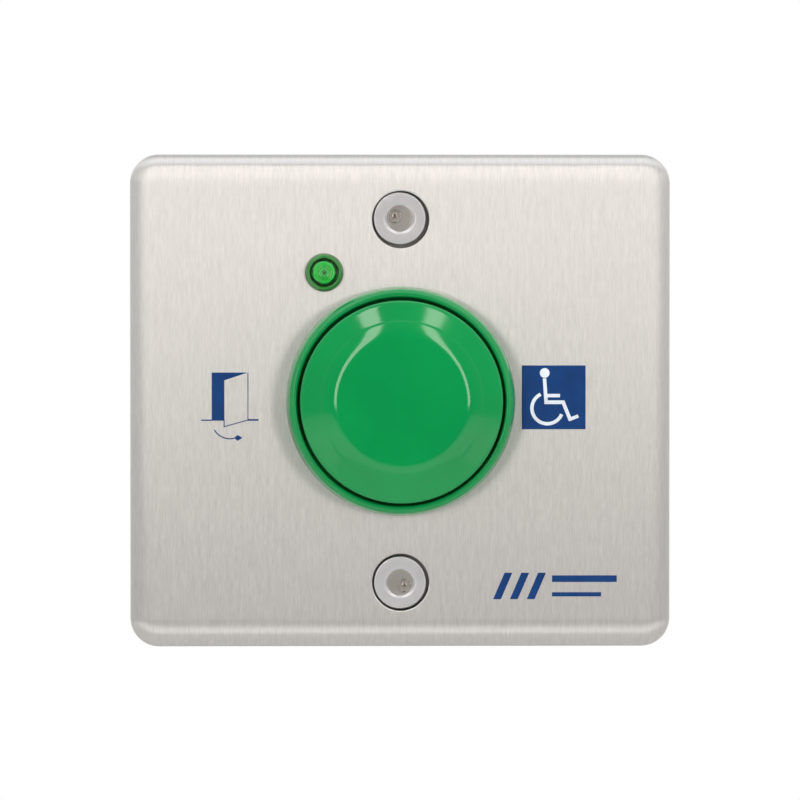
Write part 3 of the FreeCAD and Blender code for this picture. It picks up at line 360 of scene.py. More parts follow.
def brushed_stainless(name, tint, grain_width, grain_length, roughness, anisotropy):
    """Stainless steel brushed along the v of the piece's own grain map: scratches of a width and length in
    millimetres that blur reflections across the grain, mixed with streaks about three times as broad."""
    material, tree = new_material(name)
    across = add_node(tree, "UVMap", {"uv_map": "grain"})
    fine = add_node(
        tree, "Mapping", {"Scale": (1.0 / grain_width, 1.0 / grain_length, 1.0)}, {"Vector": (across, "UV")}
    )
    coarse = add_node(
        tree,
        "Mapping",
        {"Scale": (0.32 / grain_width, 0.35 / grain_length, 1.0), "Location": (3.7, 1.9, 0.0)},
        {"Vector": (across, "UV")},
    )
    scratches = add_node(
        tree,
        "TexNoise",
        {"noise_dimensions": "2D", "Scale": 1.0, "Detail": 3.0, "Roughness": 0.65},
        {"Vector": (fine, "Vector")},
    )
    bands = add_node(
        tree,
        "TexNoise",
        {"noise_dimensions": "2D", "Scale": 1.0, "Detail": 2.0, "Roughness": 0.5},
        {"Vector": (coarse, "Vector")},
    )
    mixed = add_node(
        tree, "Mix", {"data_type": "FLOAT", 0: 0.35}, {2: (scratches, "Fac"), 3: (bands, "Fac")}
    )
    tone = add_node(tree, "ValToRGB", links={"Fac": (mixed, 0)})
    tone.color_ramp.elements[0].position = 0.30
    tone.color_ramp.elements[0].color = linear(tint[0])
    tone.color_ramp.elements[1].position = 0.68
    tone.color_ramp.elements[1].color = linear(tint[1])
    rough = add_node(
        tree,
        "MapRange",
        {"From Min": 0.25, "From Max": 0.75, "To Min": roughness[0], "To Max": roughness[1]},
        {"Value": (scratches, "Fac")},
    )
    relief = add_node(
        tree, "Bump", {"Strength": 0.35, "Distance": 0.006 * MM}, {"Height": (scratches, "Fac")}
    )
    along = add_node(tree, "Tangent", {"direction_type": "UV_MAP", "uv_map": "grain"})
    finish_material(
        tree,
        {"Metallic": 1.0, "Anisotropic": anisotropy},
        {
            "Base Color": (tone, "Color"),
            "Roughness": (rough, "Result"),
            "Normal": (relief, "Normal"),
            "Tangent": (along, "Tangent"),
        },
    )
    return material


plate_low, plate_high = mm_box("front_plate")
face_y, rim_y = plate_low[1], plate_high[1]
back_y = face_y + SHEET_GAUGE
half_width, half_height = plate_high[0], plate_high[2]
inner_bend = BEND_RADIUS - SHEET_GAUGE
inner_arc = arc((BEND_RADIUS, face_y + BEND_RADIUS), inner_bend, 180, 270, 8)
outer_bend = eased_bend(SHOULDER_WIDTH, SHOULDER_SLOPE, BEND_RADIUS - SHOULDER_LOSS)
panel_inset = outer_bend[0, 0] + FLAT_MARGIN
tray_profile = np.concatenate(
    [
        [(panel_inset, face_y)],
        outer_bend + (0.0, face_y),
        [(0.0, rim_y - 2.0), (0.0, rim_y - RIM_BREAK), (0.08, rim_y - 0.08), (RIM_BREAK, rim_y)],
        [(SHEET_GAUGE - RIM_INNER_BREAK, rim_y), (SHEET_GAUGE, rim_y - RIM_INNER_BREAK)],
        inner_arc,
        [(panel_inset, back_y)],
    ]
)
tray = np.stack(
    [
        np.insert(outline(half_width, half_height, CORNER_RADIUS, inset), 1, y, axis=1)
        for inset, y in tray_profile
    ]
)
cup_low, cup_high = mm_box("screw_cups")
screw_z = (cup_high[2] - cup_low[2]) / 2 - CUP_RADIUS
lens_low, lens_high = mm_box("lamp_lens")
lamp = ((lens_low[0] + lens_high[0]) / 2, (lens_low[2] + lens_high[2]) / 2)
# each hole's centre, radius and number of steps round it
holes = [
    ((0.0, 0.0), BARREL_HOLE, 120),
    (lamp, LENS_HOLE, 56),
    ((0.0, screw_z), CUP_BORE, 80),
    ((0.0, -screw_z), CUP_BORE, 80),
]
work = bmesh.new()
add_grid(work, tray)
band = outline(half_width, half_height, CORNER_RADIUS, panel_inset)
for depth in (face_y, back_y):
    rims = [
        around([(radius + FLAT_MARGIN, depth)], centre, steps)[0][:, [0, 2]]
        for centre, radius, steps in holes
    ]
    fill_panel(work, [band, *rims], depth)
for centre, radius, steps in holes:
    edge = arc((radius + HOLE_EDGE, face_y + HOLE_EDGE), HOLE_EDGE, 270, 180, 4)
    start, end = (radius + FLAT_MARGIN, face_y), (radius + FLAT_MARGIN, back_y)
    wall = np.concatenate([[start], edge, [(radius, back_y), end]])
    add_grid(work, around(wall, centre, steps))
# 304 stainless, brushed up and down: a satin skin with fine upright streaks, which spreads each
# reflection sideways. The real scratches are about 0.05 mm wide, drawn four times as coarse to show.
stainless = brushed_stainless("brushed_304_stainless", ("d4d3d1", "e6e4e2"), 0.20, 2.0, (0.42, 0.47), 0.90)
plate = finish_piece(work, "front_plate_sheet", stainless, "wall_unit", ["front_plate"])


def add_grain_map(piece):
    """Lays the grain map on a tray, in millimetres: u is X plus the depth behind the face, and v is Z plus
    that depth, each depth taken by the share that the point is into the corner's width on that side."""
    mesh = piece.data
    corner = np.empty(len(mesh.loops), np.int32)
    mesh.loops.foreach_get("vertex_index", corner)
    points = np.empty(len(mesh.vertices) * 3)
    mesh.vertices.foreach_get("co", points)
    x, y, z = (points.reshape(-1, 3) / MM).T
    depth = y - face_y
    into_side = np.clip((np.abs(x) - half_width) / CORNER_RADIUS + 1, 0, 1)
    into_end = np.clip((np.abs(z) - half_height) / CORNER_RADIUS + 1, 0, 1)
    u = x + np.sign(x) * depth * into_side
    v = z + np.sign(z) * depth * into_end
    layer = mesh.uv_layers.new(name="grain")
    layer.data.foreach_set("uv", np.stack([u, v], axis=1)[corner].ravel())


add_grain_map(plate)

# ---------------------------------------------------------------------------------------------
# Prints on the plate: screen-printed signs in blue and white ink, a few hundredths thick. An open
# door with a ground line and an arrow on the left, the access sign on the right, and low on the
# right a plain mark of slanted bars and two lines.
# ---------------------------------------------------------------------------------------------

INK_LIFT = 0.012
INK_GAUGE = 0.02
INK_STEP = 0.001  # strokes that cross differ this much in height
WHITE_LIFT = INK_LIFT + INK_GAUGE + 0.004  # just clear of the blue ground
THIN, THICK = 0.16, 0.28
DOOR_SHIFT = np.array([-0.17, 0.25])
SIGN_CENTRE, SIGN_HALF = np.array([25.47, 0.6]), 5.31
MARK_FOOT, MARK_TOP, MARK_SLANT, MARK_BAR = -33.0, -28.6, 1.9, 1.3


def bar(start, end, width):
    """The four corners of a straight stroke of a width from start to end."""
    start, end = np.asarray(start, float), np.asarray(end, float)
    along = (end - start) / np.hypot(*(end - start))
    side = np.array([-along[1], along[0]]) * width / 2
    return np.array([start - side, end - side, end + side, start + side])


def bow(centre, radius, width, start, end, steps=40):
    """A stroke of a width along an arc: the outer arc one way and the inner arc back."""
    outer = arc(centre, radius + width / 2, start, end, steps)
    inner = arc(centre, radius - width / 2, end, start, steps)
    return np.concatenate([outer, inner])


def clouded(tree, place, code, noise, span, spread=(0.3, 0.7)):
    """A colour whose value drifts from span[0] to span[1] as a noise, with the given settings, goes from
    spread[0] to spread[1]. Gives back the colour's node and the noise's."""
    cloud = add_node(tree, "TexNoise", noise, {"Vector": (place, "Object")})
    level = add_node(
        tree,
        "MapRange",
        {"From Min": spread[0], "From Max": spread[1], "To Min": span[0], "To Max": span[1]},
        {"Value": (cloud, "Fac")},
    )
    tone = add_node(tree, "HueSaturation", {"Color": linear(code)}, {"Value": (level, "Result")})
    return tone, cloud


def printed_ink(name, code, roughness):
    """Cured screen ink: opaque and satin, with marks 0.4 mm across where the screen's mesh lay and clouds
    4 mm across in its tone."""
    material, tree = new_material(name)
    place = add_node(tree, "TexCoord")
    mesh_marks = add_node(
        tree, "TexNoise", {"Scale": 2600.0, "Detail": 2.0}, {"Vector": (place, "Object")}
    )
    tone, _ = clouded(tree, place, code, {"Scale": 260.0, "Detail": 3.0}, (0.86, 1.12))
    relief = add_node(
        tree, "Bump", {"Strength": 0.25, "Distance": 0.004 * MM}, {"Height": (mesh_marks, "Fac")}
    )
    finish_material(
        tree,
        {"Roughness": roughness, "Specular IOR Level": 0.2},
        {"Base Color": (tone, "Color"), "Normal": (relief, "Normal")},
    )
    return material


def print_mark(name, shapes, material, base):
    """A printed mark: each outline of (x, z) points becomes a thin closed slab of ink that starts base above
    the plate's face, each a step higher than the last."""
    work = bmesh.new()
    for i, shape in enumerate(shapes):
        top = face_y - base - INK_GAUGE - i * INK_STEP
        rows = np.stack([np.insert(shape, 1, y, axis=1) for y in (top, face_y - base)])
        add_grid(work, rows)
        for y in (top, face_y - base):
            verts = [work.verts.new((x * MM, y * MM, z * MM)) for x, z in shape]
            rim = work.faces.new(verts)
            rim.normal_update()
            bmesh.ops.triangulate(work, faces=[rim])
    finish_piece(work, name, material, "wall_unit", sharp=30.0)


# epoxy screen inks: flat, even colour with a satin skin that hides the steel's grain
ink_blue = printed_ink("screen_ink_blue", "083a76", 0.42)
ink_white = printed_ink("screen_ink_white", "e2eaf6", 0.45)
door_opening = np.array([(-31.22, 4.5), (-25.2, 4.5), (-29.12, 3.2), (-29.12, -3.5), (-31.22, -3.5)])
door_leaf = [
    bar((-25.2, 4.45), (-25.2, -3.42), 0.13),
    bar((-25.15, -3.38), (-29.2, -4.52), THIN),
    bar((-29.16, -4.56), (-29.16, -3.3), THIN),
]
ground = [bar((-33.0, -3.42), (-31.2, -3.42), 0.22), bar((-25.2, -3.38), (-23.45, -3.38), THICK)]
arrow = [
    bow((-28.19, -3.5), 3.01, THIN + 0.04, 210, 284),
    np.array([(-27.5, -6.36), (-26.95, -5.88), (-26.1, -6.34), (-26.95, -6.86)]),
]
door = [shape + DOOR_SHIFT for shape in (door_opening, *door_leaf, *ground, *arrow)]
print_mark("door_sign", door, ink_blue, INK_LIFT)
square = SIGN_CENTRE + SIGN_HALF * np.array([(-1, -1), (1, -1), (1, 1), (-1, 1)])
print_mark("access_sign_ground", [square], ink_blue, INK_LIFT)
figure = [
    arc((-1.50, 4.06), 0.81, 0, 345, 30),
    bar((-1.53, 3.15), (-1.24, -1.10), 0.59),
    bar((-1.24, 0.29), (1.05, 0.29), 0.57),
    bar((-1.50, -0.81), (1.80, -0.81), 0.62),
    bar((1.50, -0.62), (2.80, -3.85), 0.60),
    bar((2.55, -3.70), (4.10, -3.10), 0.57),
    bow((-1.05, -1.81), 2.58, 0.57, 116, 337),
]
print_mark("access_sign_figure", [SIGN_CENTRE + shape for shape in figure], ink_white, WHITE_LIFT)
slanted_bar = np.array(
    [(0, MARK_FOOT), (MARK_BAR, MARK_FOOT), (MARK_SLANT + MARK_BAR, MARK_TOP), (MARK_SLANT, MARK_TOP)]
)
mark = [slanted_bar + (x, 0) for x in (15.4, 18.2, 21.0)]
mark += [bar((25.2, -29.6), (36.0, -29.6), 1.1), bar((25.2, -32.2), (33.4, -32.2), 0.7)]
print_mark("maker_mark", mark, ink_blue, INK_LIFT)

# ---------------------------------------------------------------------------------------------
# Screw cups and security screws: turned stainless cups welded behind the plate, each with a
# captive screw whose round head sinks just below the face. The drive is a shallow round dish with
# an off-centre domed pin. The shanks carry an M3.5 thread.
# ---------------------------------------------------------------------------------------------

STRAIGHT = 0.001  # radians, a turn too small to round
SCREW_HEAD, HEAD_DEPTH = 4.35, 3.0
THREAD_RADIUS, THREAD_DEPTH, THREAD_PITCH = 1.75, 0.35, 0.6
THREAD_ROOT = THREAD_RADIUS - THREAD_DEPTH
THREAD_START, NECK_RADIUS, NECK_TAPER = -1.0, 1.3, 0.2
TIP_RADIUS, TIP_TAPER = 0.95, 0.9
CUP_SEAT, CUP_FLOOR_HOLE = 1.62, 1.95  # how deep the screw's seat is, and the hole in it for the shank
DISH_RADIUS, DISH_DEPTH = 2.6, 0.28
DISH_SHADE_RADIUS = 2.25  # radius of the thin dark disc that lies in each dish as painted shade
PIN_RADIUS, PIN_OFFSET = 1.36, 0.9
# the pin's radius, depth below the head's face and rounding, corner by corner
PIN_CORNERS = [
    (0.0, 0.12, 0), (0.5, 0.18, 0.4), (0.72, 0.42, 0.12), (0.95, 0.12, 0.2), (1.15, 0.16, 0.25),
    (PIN_RADIUS, 0.6, 0.3), (PIN_RADIUS, 0.9, 0), (0.0, 0.9, 0),
]
PIN_TURNS = (-67.0, 129.0)  # which way each pin is off centre, in degrees clockwise from the top
SEATS = ((-0.14, 0.2), (-0.1, -0.04))  # how far off centre each screw has settled, in X and Z


def turned_metal(name, codes, roughness, grit_size, anisotropy=0.0):
    """Turned, rolled, drawn or plated metal: soft stains 3 mm across between two tones, and a grit of a size
    in millimetres in its gloss and relief."""
    material, tree = new_material(name)
    place = add_node(tree, "TexCoord")
    grit = add_node(
        tree, "TexNoise", {"Scale": 1.0 / (grit_size * MM), "Detail": 3.0}, {"Vector": (place, "Object")}
    )
    stain = add_node(tree, "TexNoise", {"Scale": 320.0, "Detail": 4.0}, {"Vector": (place, "Object")})
    tone = add_node(
        tree,
        "Mix",
        {"data_type": "RGBA", 6: linear(codes[0]), 7: linear(codes[1])},
        {0: (stain, "Fac")},
    )
    rough = add_node(
        tree,
        "MapRange",
        {"From Min": 0.3, "From Max": 0.7, "To Min": roughness[0], "To Max": roughness[1]},
        {"Value": (grit, "Fac")},
    )
    relief = add_node(tree, "Bump", {"Strength": 0.3, "Distance": 0.004 * MM}, {"Height": (grit, "Fac")})
    finish_material(
        tree,
        {"Metallic": 1.0, "Anisotropic": anisotropy},
        {"Base Color": (tone, 2), "Roughness": (rough, "Result"), "Normal": (relief, "Normal")},
    )
    return material


def rounded(corners, closed=False, step=12.0):
    """A path through corners (x, y, radius): where a radius is given the corner becomes an arc tangent to
    both its sides, which starts radius times tan(half the turn) before the corner, in steps of about step
    degrees."""
    points = []
    count = len(corners)
    for i, (x, y, radius) in enumerate(corners):
        here = np.array([x, y], float)
        if radius <= 0 or (not closed and i in (0, count - 1)):
            points.append(here)
            continue
        before = np.array(corners[i - 1][:2], float) - here
        after = np.array(corners[(i + 1) % count][:2], float) - here
        before, after = before / np.hypot(*before), after / np.hypot(*after)
        turn = math.pi - math.acos(np.clip(before @ after, -1, 1))
        if turn < STRAIGHT:
            points.append(here)
            continue
        reach = radius * math.tan(turn / 2)
        middle = before + after
        centre = here + middle / np.hypot(*middle) * radius / math.cos(turn / 2)
        first, last = here + before * reach - centre, here + after * reach - centre
        bend = math.atan2(first[0] * last[1] - first[1] * last[0], first @ last)
        start = math.atan2(first[1], first[0])
        steps = max(2, int(round(abs(math.degrees(bend)) / step)))
        points += list(arc(centre, radius, math.degrees(start), math.degrees(start + bend), steps))
    return np.array(points)


def threaded(start, end, radius, pitch, depth, centre, steps=40, rows_per_pitch=8):
    """A rod's skin with a helical thread: r = radius - depth |2 f - 1|, where f is the fractional part of
    y / pitch - a / 2 pi, and the thread fades out over half a turn at both ends."""
    rows = int((end - start) / pitch * rows_per_pitch)
    y = np.linspace(start, end, rows + 1)[:, None]
    a = np.linspace(0, 2 * math.pi, steps, endpoint=False)[None, :]
    phase = (y / pitch - a / (2 * math.pi)) % 1.0
    fade = np.clip((y - start) / (0.5 * pitch), 0, 1) * np.clip((end - y) / (0.5 * pitch), 0, 1)
    r = radius - depth * (1 - fade * (1 - np.abs(2 * phase - 1)))
    x, z = centre[0] + r * np.cos(a), centre[1] + r * np.sin(a)
    return np.stack([x, np.broadcast_to(y, x.shape), z], axis=2)


# turned stainless: an even pale grey whose tool marks, drawn coarser than the real 0.05 mm, dull it
screw_steel = turned_metal("turned_stainless", ("bcbbbf", "d3d3d5"), (0.36, 0.50), 0.22)
# the pins: a darker and smoother stainless than the heads, so that they show small sharp lights
pin_steel = turned_metal("cold_headed_stainless", ("78716b", "a8a19a"), (0.20, 0.30), 0.10)
# a grey, matt steel on a thin disc laid in each dish: painted shade in the recess, darker than the bright
# turned ring round it
dish_shade_steel = turned_metal("dish_painted_shade_steel", ("8f8b87", "b5b1ad"), (0.34, 0.48), 0.16)
screws_low, screws_high = mm_box("security_screws")
head_y, tip_y = screws_low[1], screws_high[1]
head_back, thread_end = head_y + HEAD_DEPTH, tip_y - TIP_TAPER
dish_y = head_y + DISH_DEPTH
work, pins, dish_shades = bmesh.new(), bmesh.new(), bmesh.new()
for side, pin_turn, (seat_x, seat_z) in zip((1, -1), PIN_TURNS, SEATS):
    x, z = seat_x, side * screw_z + seat_z
    body_profile = rounded(
        [
            (0.0, dish_y, 0),
            (DISH_RADIUS * 0.82, head_y + DISH_DEPTH * 0.95, 0.8),
            (DISH_RADIUS, head_y, 0.3),
            (SCREW_HEAD, head_y, 0.22),
            (SCREW_HEAD, head_back, 0.1),
            (NECK_RADIUS, head_back, 0.1),
            (NECK_RADIUS, THREAD_START - NECK_TAPER, 0),
            (THREAD_ROOT, THREAD_START, 0),
        ]
    )
    add_grid(work, around(body_profile, (x, z), 72))
    add_grid(work, threaded(THREAD_START, thread_end, THREAD_RADIUS, THREAD_PITCH, THREAD_DEPTH, (x, z)))
    add_grid(work, around([(THREAD_ROOT, thread_end), (TIP_RADIUS, tip_y), (0.0, tip_y)], (x, z), 40))
    # a thin dark disc in the dish: painted shade in the recess
    dish_shade_profile = rounded(
        [
            (0.0, dish_y - 0.05, 0),
            (DISH_RADIUS * 0.7, head_y + DISH_DEPTH * 0.8, 1.5),
            (DISH_SHADE_RADIUS, head_y + DISH_DEPTH * 0.62, 0.1),
            (DISH_SHADE_RADIUS, dish_y + 0.1, 0),
            (0.0, dish_y + 0.1, 0),
        ]
    )
    add_grid(dish_shades, around(dish_shade_profile, (x, z), 60))
    shift = math.radians(pin_turn)
    centre = (x + PIN_OFFSET * math.sin(shift), z + PIN_OFFSET * math.cos(shift))
    pin_profile = rounded([(r, head_y + below, rounding) for r, below, rounding in PIN_CORNERS])
    add_grid(pins, around(pin_profile, centre, 40))
finish_piece(work, "security_screw_bodies", screw_steel, "wall_unit", ["security_screws"])
finish_piece(pins, "security_screw_pins", pin_steel, "wall_unit")
finish_piece(dish_shades, "security_screw_dish_shades", dish_shade_steel, "wall_unit")

# turned stainless cups, painted darker, a little warmer and duller than the screws: painted shade in the gap
# round each screw head
cup_shade_steel = turned_metal("stainless_cup_painted_shade", ("8d8a86", "aaa7a3"), (0.32, 0.5), 0.12)
work = bmesh.new()
for z in (screw_z, -screw_z):
    cup_profile = rounded(
        [
            (CUP_FLOOR_HOLE, cup_low[1] + CUP_SEAT, 0.1),
            (CUP_BORE, cup_low[1] + CUP_SEAT, 0.1),
            (CUP_BORE, cup_low[1], 0),
            (CUP_RADIUS, cup_low[1], 0),
            (CUP_RADIUS, cup_high[1], 0.4),
            (CUP_FLOOR_HOLE, cup_high[1], 0.2),
        ],
        closed=True,
    )
    add_grid(work, around(cup_profile, (0.0, z), 72), loop=True)
finish_piece(work, "screw_cup_turnings", cup_shade_steel, "wall_unit", ["screw_cups"])

# ---------------------------------------------------------------------------------------------
# Bezel: injection-moulded green plastic, one piece with the barrel behind the plate. The flange's
# side slopes in from the plate, and its top rolls over into the narrow well round the cap.
# ---------------------------------------------------------------------------------------------

WELL_RADIUS, WELL_DEPTH = 17.25, 1.8  # the well round the cap, and how far its floor is ahead of the plate
LIP_RADIUS = 18.0
ROLL_OUT, ROLL_FOOT, ROLL_HEIGHT = 1.05, 0.7, 5.25  # the quarter ellipse from the lip down to the side
SEAL_ROOM = 0.5
BARREL_RADIUS, BARREL_BORE = 14.0, 12.2
STOP_GROOVE, STOP_FRONT, STOP_BACK = 13.4, -1.9, -1.3
GUIDE_RADIUS, GUIDE_BORE, GUIDE_FRONT = 8.4, 7.1, -4.0
WEB_BACK = 2.0


def moulded_plastic(name, code, roughness, speckle, relief_mm, span=(0.92, 1.06)):
    """Moulded plastic: one colour whose value and gloss drift over 14 mm clouds, and a fine relief of a
    speckle's width, in millimetres, from the mould."""
    material, tree = new_material(name)
    place = add_node(tree, "TexCoord")
    tone, drift = clouded(tree, place, code, {"Scale": 70.0, "Detail": 3.0}, span)
    grit = add_node(
        tree, "TexNoise", {"Scale": 1.0 / (speckle * MM), "Detail": 2.0}, {"Vector": (place, "Object")}
    )
    rough = add_node(
        tree,
        "MapRange",
        {"From Min": 0.3, "From Max": 0.7, "To Min": roughness[0], "To Max": roughness[1]},
        {"Value": (drift, "Fac")},
    )
    relief = add_node(tree, "Bump", {"Strength": 0.4, "Distance": relief_mm * MM}, {"Height": (grit, "Fac")})
    finish_material(
        tree,
        {"IOR": 1.49},
        {"Base Color": (tone, "Color"), "Roughness": (rough, "Result"), "Normal": (relief, "Normal")},
    )
    return material


bezel_low, bezel_high = mm_box("bezel_housing")
bezel_radius, bezel_top, barrel_end = bezel_high[0], bezel_low[1], bezel_high[1]
roll = [
    (LIP_RADIUS + ROLL_OUT * math.sin(a), face_y - ROLL_FOOT - ROLL_HEIGHT * math.cos(a), 0)
    for a in np.radians(range(18, 91, 8))
]
bezel_profile = rounded(
    [
        (WELL_RADIUS, face_y - WELL_DEPTH, 0.2),
        (WELL_RADIUS, bezel_top, 0.42),
        (LIP_RADIUS, bezel_top, 0.35),
        *roll,
        (bezel_radius, face_y - SEAL_ROOM, 0.1),
        (BARREL_RADIUS, face_y - SEAL_ROOM, 0.1),
        (BARREL_RADIUS, STOP_FRONT, 0),
        (STOP_GROOVE, (STOP_FRONT + STOP_BACK) / 2, 0.1),
        (BARREL_RADIUS, STOP_BACK, 0),
        (BARREL_RADIUS, barrel_end - 0.8, 0.1),
        (BARREL_RADIUS - 0.8, barrel_end, 0.1),
        (BARREL_BORE, barrel_end, 0.2),
        (BARREL_BORE, WEB_BACK, 0.3),
        (GUIDE_BORE, WEB_BACK, 0.2),
        (GUIDE_BORE, GUIDE_FRONT, 0.2),
        (GUIDE_RADIUS, GUIDE_FRONT, 0.2),
        (GUIDE_RADIUS, 0.0, 0.3),
        (BARREL_BORE, 0.0, 0.3),
        (BARREL_BORE, face_y - WELL_DEPTH, 0.2),
    ],
    closed=True,
)
# moulded acetal: a deep even green with a soft satin shine
bezel_green = moulded_plastic("moulded_green_acetal", "01924c", (0.16, 0.24), 0.35, 0.004)
work = bmesh.new()
add_grid(work, around(bezel_profile, (0.0, 0.0), 180), loop=True)
finish_piece(work, "bezel_moulding", bezel_green, "wall_unit", ["bezel_housing"])

# ---------------------------------------------------------------------------------------------
# Cap: moulded in glossy green acrylic, a straight skirt, a sloping collar, a faint ring where the
# collar meets the shoulder, and a broad, slightly domed centre. It is bonded to the plunger.
# ---------------------------------------------------------------------------------------------

CAP_WALL = 1.6
FLAT_RADIUS, CAP_EDGE = 10.0, 16.25  # rings are further apart on the flat middle than out to the edge
# how steep the cap's top is, in degrees, at each radius in millimetres
CAP_SLOPE = [
    (0.0, 0.0), (8.0, 1.6), (10.2, 2.6), (10.6, 5.5), (10.9, 10.5), (11.2, 15.0), (11.5, 19.5), (11.9, 22.8),
    (12.6, 25.6), (13.1, 26.8), (13.3, 31.0), (13.5, 31.5), (13.62, 26.4), (14.2, 26.2), (16.1, 26.2),
    (CAP_EDGE, 30.0),
]

cap_low, cap_high = mm_box("button_cap")
cap_radius, cap_top, skirt_y = cap_high[0], cap_low[1], cap_high[1]
slope_r, slope_deg = np.array(CAP_SLOPE).T
# the crown's fall at each radius is the running sum of its slope's tangent times each small step out
fine_r = np.linspace(0.0, CAP_EDGE, 900)
fall_rate = np.tan(np.radians(np.interp(fine_r[1:], slope_r, slope_deg)))
fine_drop = np.concatenate([[0.0], np.cumsum(fall_rate * np.diff(fine_r))])
keep_r = np.unique(np.concatenate([np.linspace(0, FLAT_RADIUS, 14), np.linspace(FLAT_RADIUS, CAP_EDGE, 76)]))
crown = np.stack([keep_r, cap_top + np.interp(keep_r, fine_r, fine_drop)], axis=1)
edge_y = crown[-1, 1]
# the skirt, and then the inside, a wall's thickness from the crown
skirt = rounded(
    [
        (crown[-1, 0], edge_y, 0),
        (cap_radius, edge_y + 0.28, 0.45),
        (cap_radius, skirt_y, 0.2),
        (cap_radius - CAP_WALL, skirt_y, 0.2),
        (cap_radius - CAP_WALL, edge_y + 0.6, 0.3),
        (13.0, cap_top + 2.9, 0.5),
        (10.8, cap_top + CAP_WALL + 0.2, 0.5),
        (0.0, cap_top + CAP_WALL, 0),
    ],
    step=9.0,
)
# moulded acrylic, polished in the mould: glossy, with sharp-edged reflections over a deep green
cap_green = moulded_plastic("moulded_green_acrylic", "00934b", (0.07, 0.12), 0.6, 0.002)
work = bmesh.new()
add_grid(work, around(np.concatenate([crown, skirt[1:]]), (0.0, 0.0), 200))
finish_piece(work, "cap_moulding", cap_green, "cap", ["button_cap"], sharp=60.0)

# ---------------------------------------------------------------------------------------------
# Lamp lens: clear green polycarbonate. A rounded flange stands on the plate, a groove runs inside
# it, and the raised middle carries moulded rings that spread the light of the LED behind.
# ---------------------------------------------------------------------------------------------

RING_PITCH, RING_HEIGHT = 0.36, 0.05
DISC_RADIUS, DISC_DOME = 1.72, 0.22
GROOVE_FLOOR = 1.05  # depth of the groove below the lens's top
LENS_BARREL, LENS_BORE = 2.95, 2.6
LENS_TINT_AND_PAINTED_LIGHT_REACH = 3.3  # the stops of the tint and its painted glow and shade are shares of this radius
LENS_TINT_AND_PAINTED_LIGHT_STOPS = [
    (0.00, "04601a"), (0.10, "067820"), (0.16, "12ac36"), (0.30, "089c26"), (0.42, "0db030"),
    (0.53, "1fbd44"), (0.57, "076a1a"), (0.62, "042a0a"), (0.68, "08320e"), (0.74, "247a2b"),
    (0.86, "2f8536"), (0.95, "1f5f24"),
]


def lens_plastic():
    """Green polycarbonate with painted light and shade: the colour follows the distance from the lens's axis,
    stirred by a fifth of a millimetre, a painted glow in the ringed middle, painted shade nearly black in the
    groove and the plastic's own mid green outside. The same colour also shines faintly as a painted glow,
    with no lamp behind it."""
    material, tree = new_material("green_polycarbonate_painted_light")
    place = add_node(tree, "TexCoord")
    centred = add_node(
        tree,
        "Mapping",
        {"Location": (-lamp[0] * MM, 0.0, -lamp[1] * MM), "Scale": (1.0, 0.0, 1.0)},
        {"Vector": (place, "Object")},
    )
    wobble = add_node(tree, "TexNoise", {"Scale": 620.0, "Detail": 2.0}, {"Vector": (place, "Object")})
    reach = add_node(tree, "VectorMath", {"operation": "LENGTH"}, {"Vector": (centred, "Vector")})
    stir = add_node(
        tree,
        "MapRange",
        {"From Min": 0.3, "From Max": 0.7, "To Min": -0.18 * MM, "To Max": 0.18 * MM},
        {"Value": (wobble, "Fac")},
    )
    moved = add_node(tree, "Math", {"operation": "ADD"}, {0: (reach, "Value"), 1: (stir, "Result")})
    share = add_node(tree, "MapRange", {"From Max": LENS_TINT_AND_PAINTED_LIGHT_REACH * MM}, {"Value": (moved, 0)})
    tone = add_node(tree, "ValToRGB", links={"Fac": (share, "Result")})
    ramp = tone.color_ramp
    while len(ramp.elements) < len(LENS_TINT_AND_PAINTED_LIGHT_STOPS):
        ramp.elements.new(0.5)
    for element, (position, code) in zip(ramp.elements, LENS_TINT_AND_PAINTED_LIGHT_STOPS):
        element.position = position
        element.color = linear(code)
    finish_material(
        tree,
        {
            "Roughness": 0.08,
            "IOR": 1.58,
            "Transmission Weight": 0.12,
            "Coat Weight": 0.2,
            "Coat Roughness": 0.04,
            # a faint painted glow: the lens shines its own colour, though nothing lights it from behind
            "Emission Strength": 0.06,
        },
        {"Base Color": (tone, "Color"), "Emission Color": (tone, "Color")},
    )
    return material


lens_top, lens_radius, lens_end = lens_low[1], (lens_high[0] - lens_low[0]) / 2, lens_high[1]
# the middle: a shallow dome with a cosine wave of rings, which fades out at the centre
ring_r = np.linspace(0.0, DISC_RADIUS, 60)
ring_wave = 0.5 + 0.5 * np.cos(2 * math.pi * ring_r / RING_PITCH)
ring_y = lens_top + 0.02 + DISC_DOME * (ring_r / DISC_RADIUS) ** 2
ring_y += RING_HEIGHT * ring_wave * np.clip(ring_r / 0.3, 0, 1)
middle = np.stack([ring_r, ring_y], axis=1)
flange = rounded(
    [
        (DISC_RADIUS, ring_y[-1], 0),
        (1.92, lens_top + 0.45, 0.1),
        (1.98, lens_top + GROOVE_FLOOR, 0.12),
        (2.28, lens_top + GROOVE_FLOOR, 0.12),
        (2.42, lens_top + 0.42, 0.25),
        (lens_radius - 0.25, lens_top + 0.72, 0.35),
        (lens_radius, face_y - 0.3, 0.3),
        (lens_radius, face_y, 0.05),
        (LENS_BARREL, face_y, 0.05),
        (LENS_BARREL, lens_end, 0.1),
        (LENS_BORE, lens_end, 0.1),
        (LENS_BORE, face_y, 0.2),
        (0.0, face_y, 0),
    ],
    step=10.0,
)
# clear polycarbonate tinted green: glassy, with a painted glow in the ringed middle and painted shade in the
# groove
lens_green = lens_plastic()
work = bmesh.new()
add_grid(work, around(np.concatenate([middle, flange[1:]]), lamp, 96))
finish_piece(work, "lamp_lens_moulding", lens_green, "wall_unit", ["lamp_lens"], sharp=50.0)

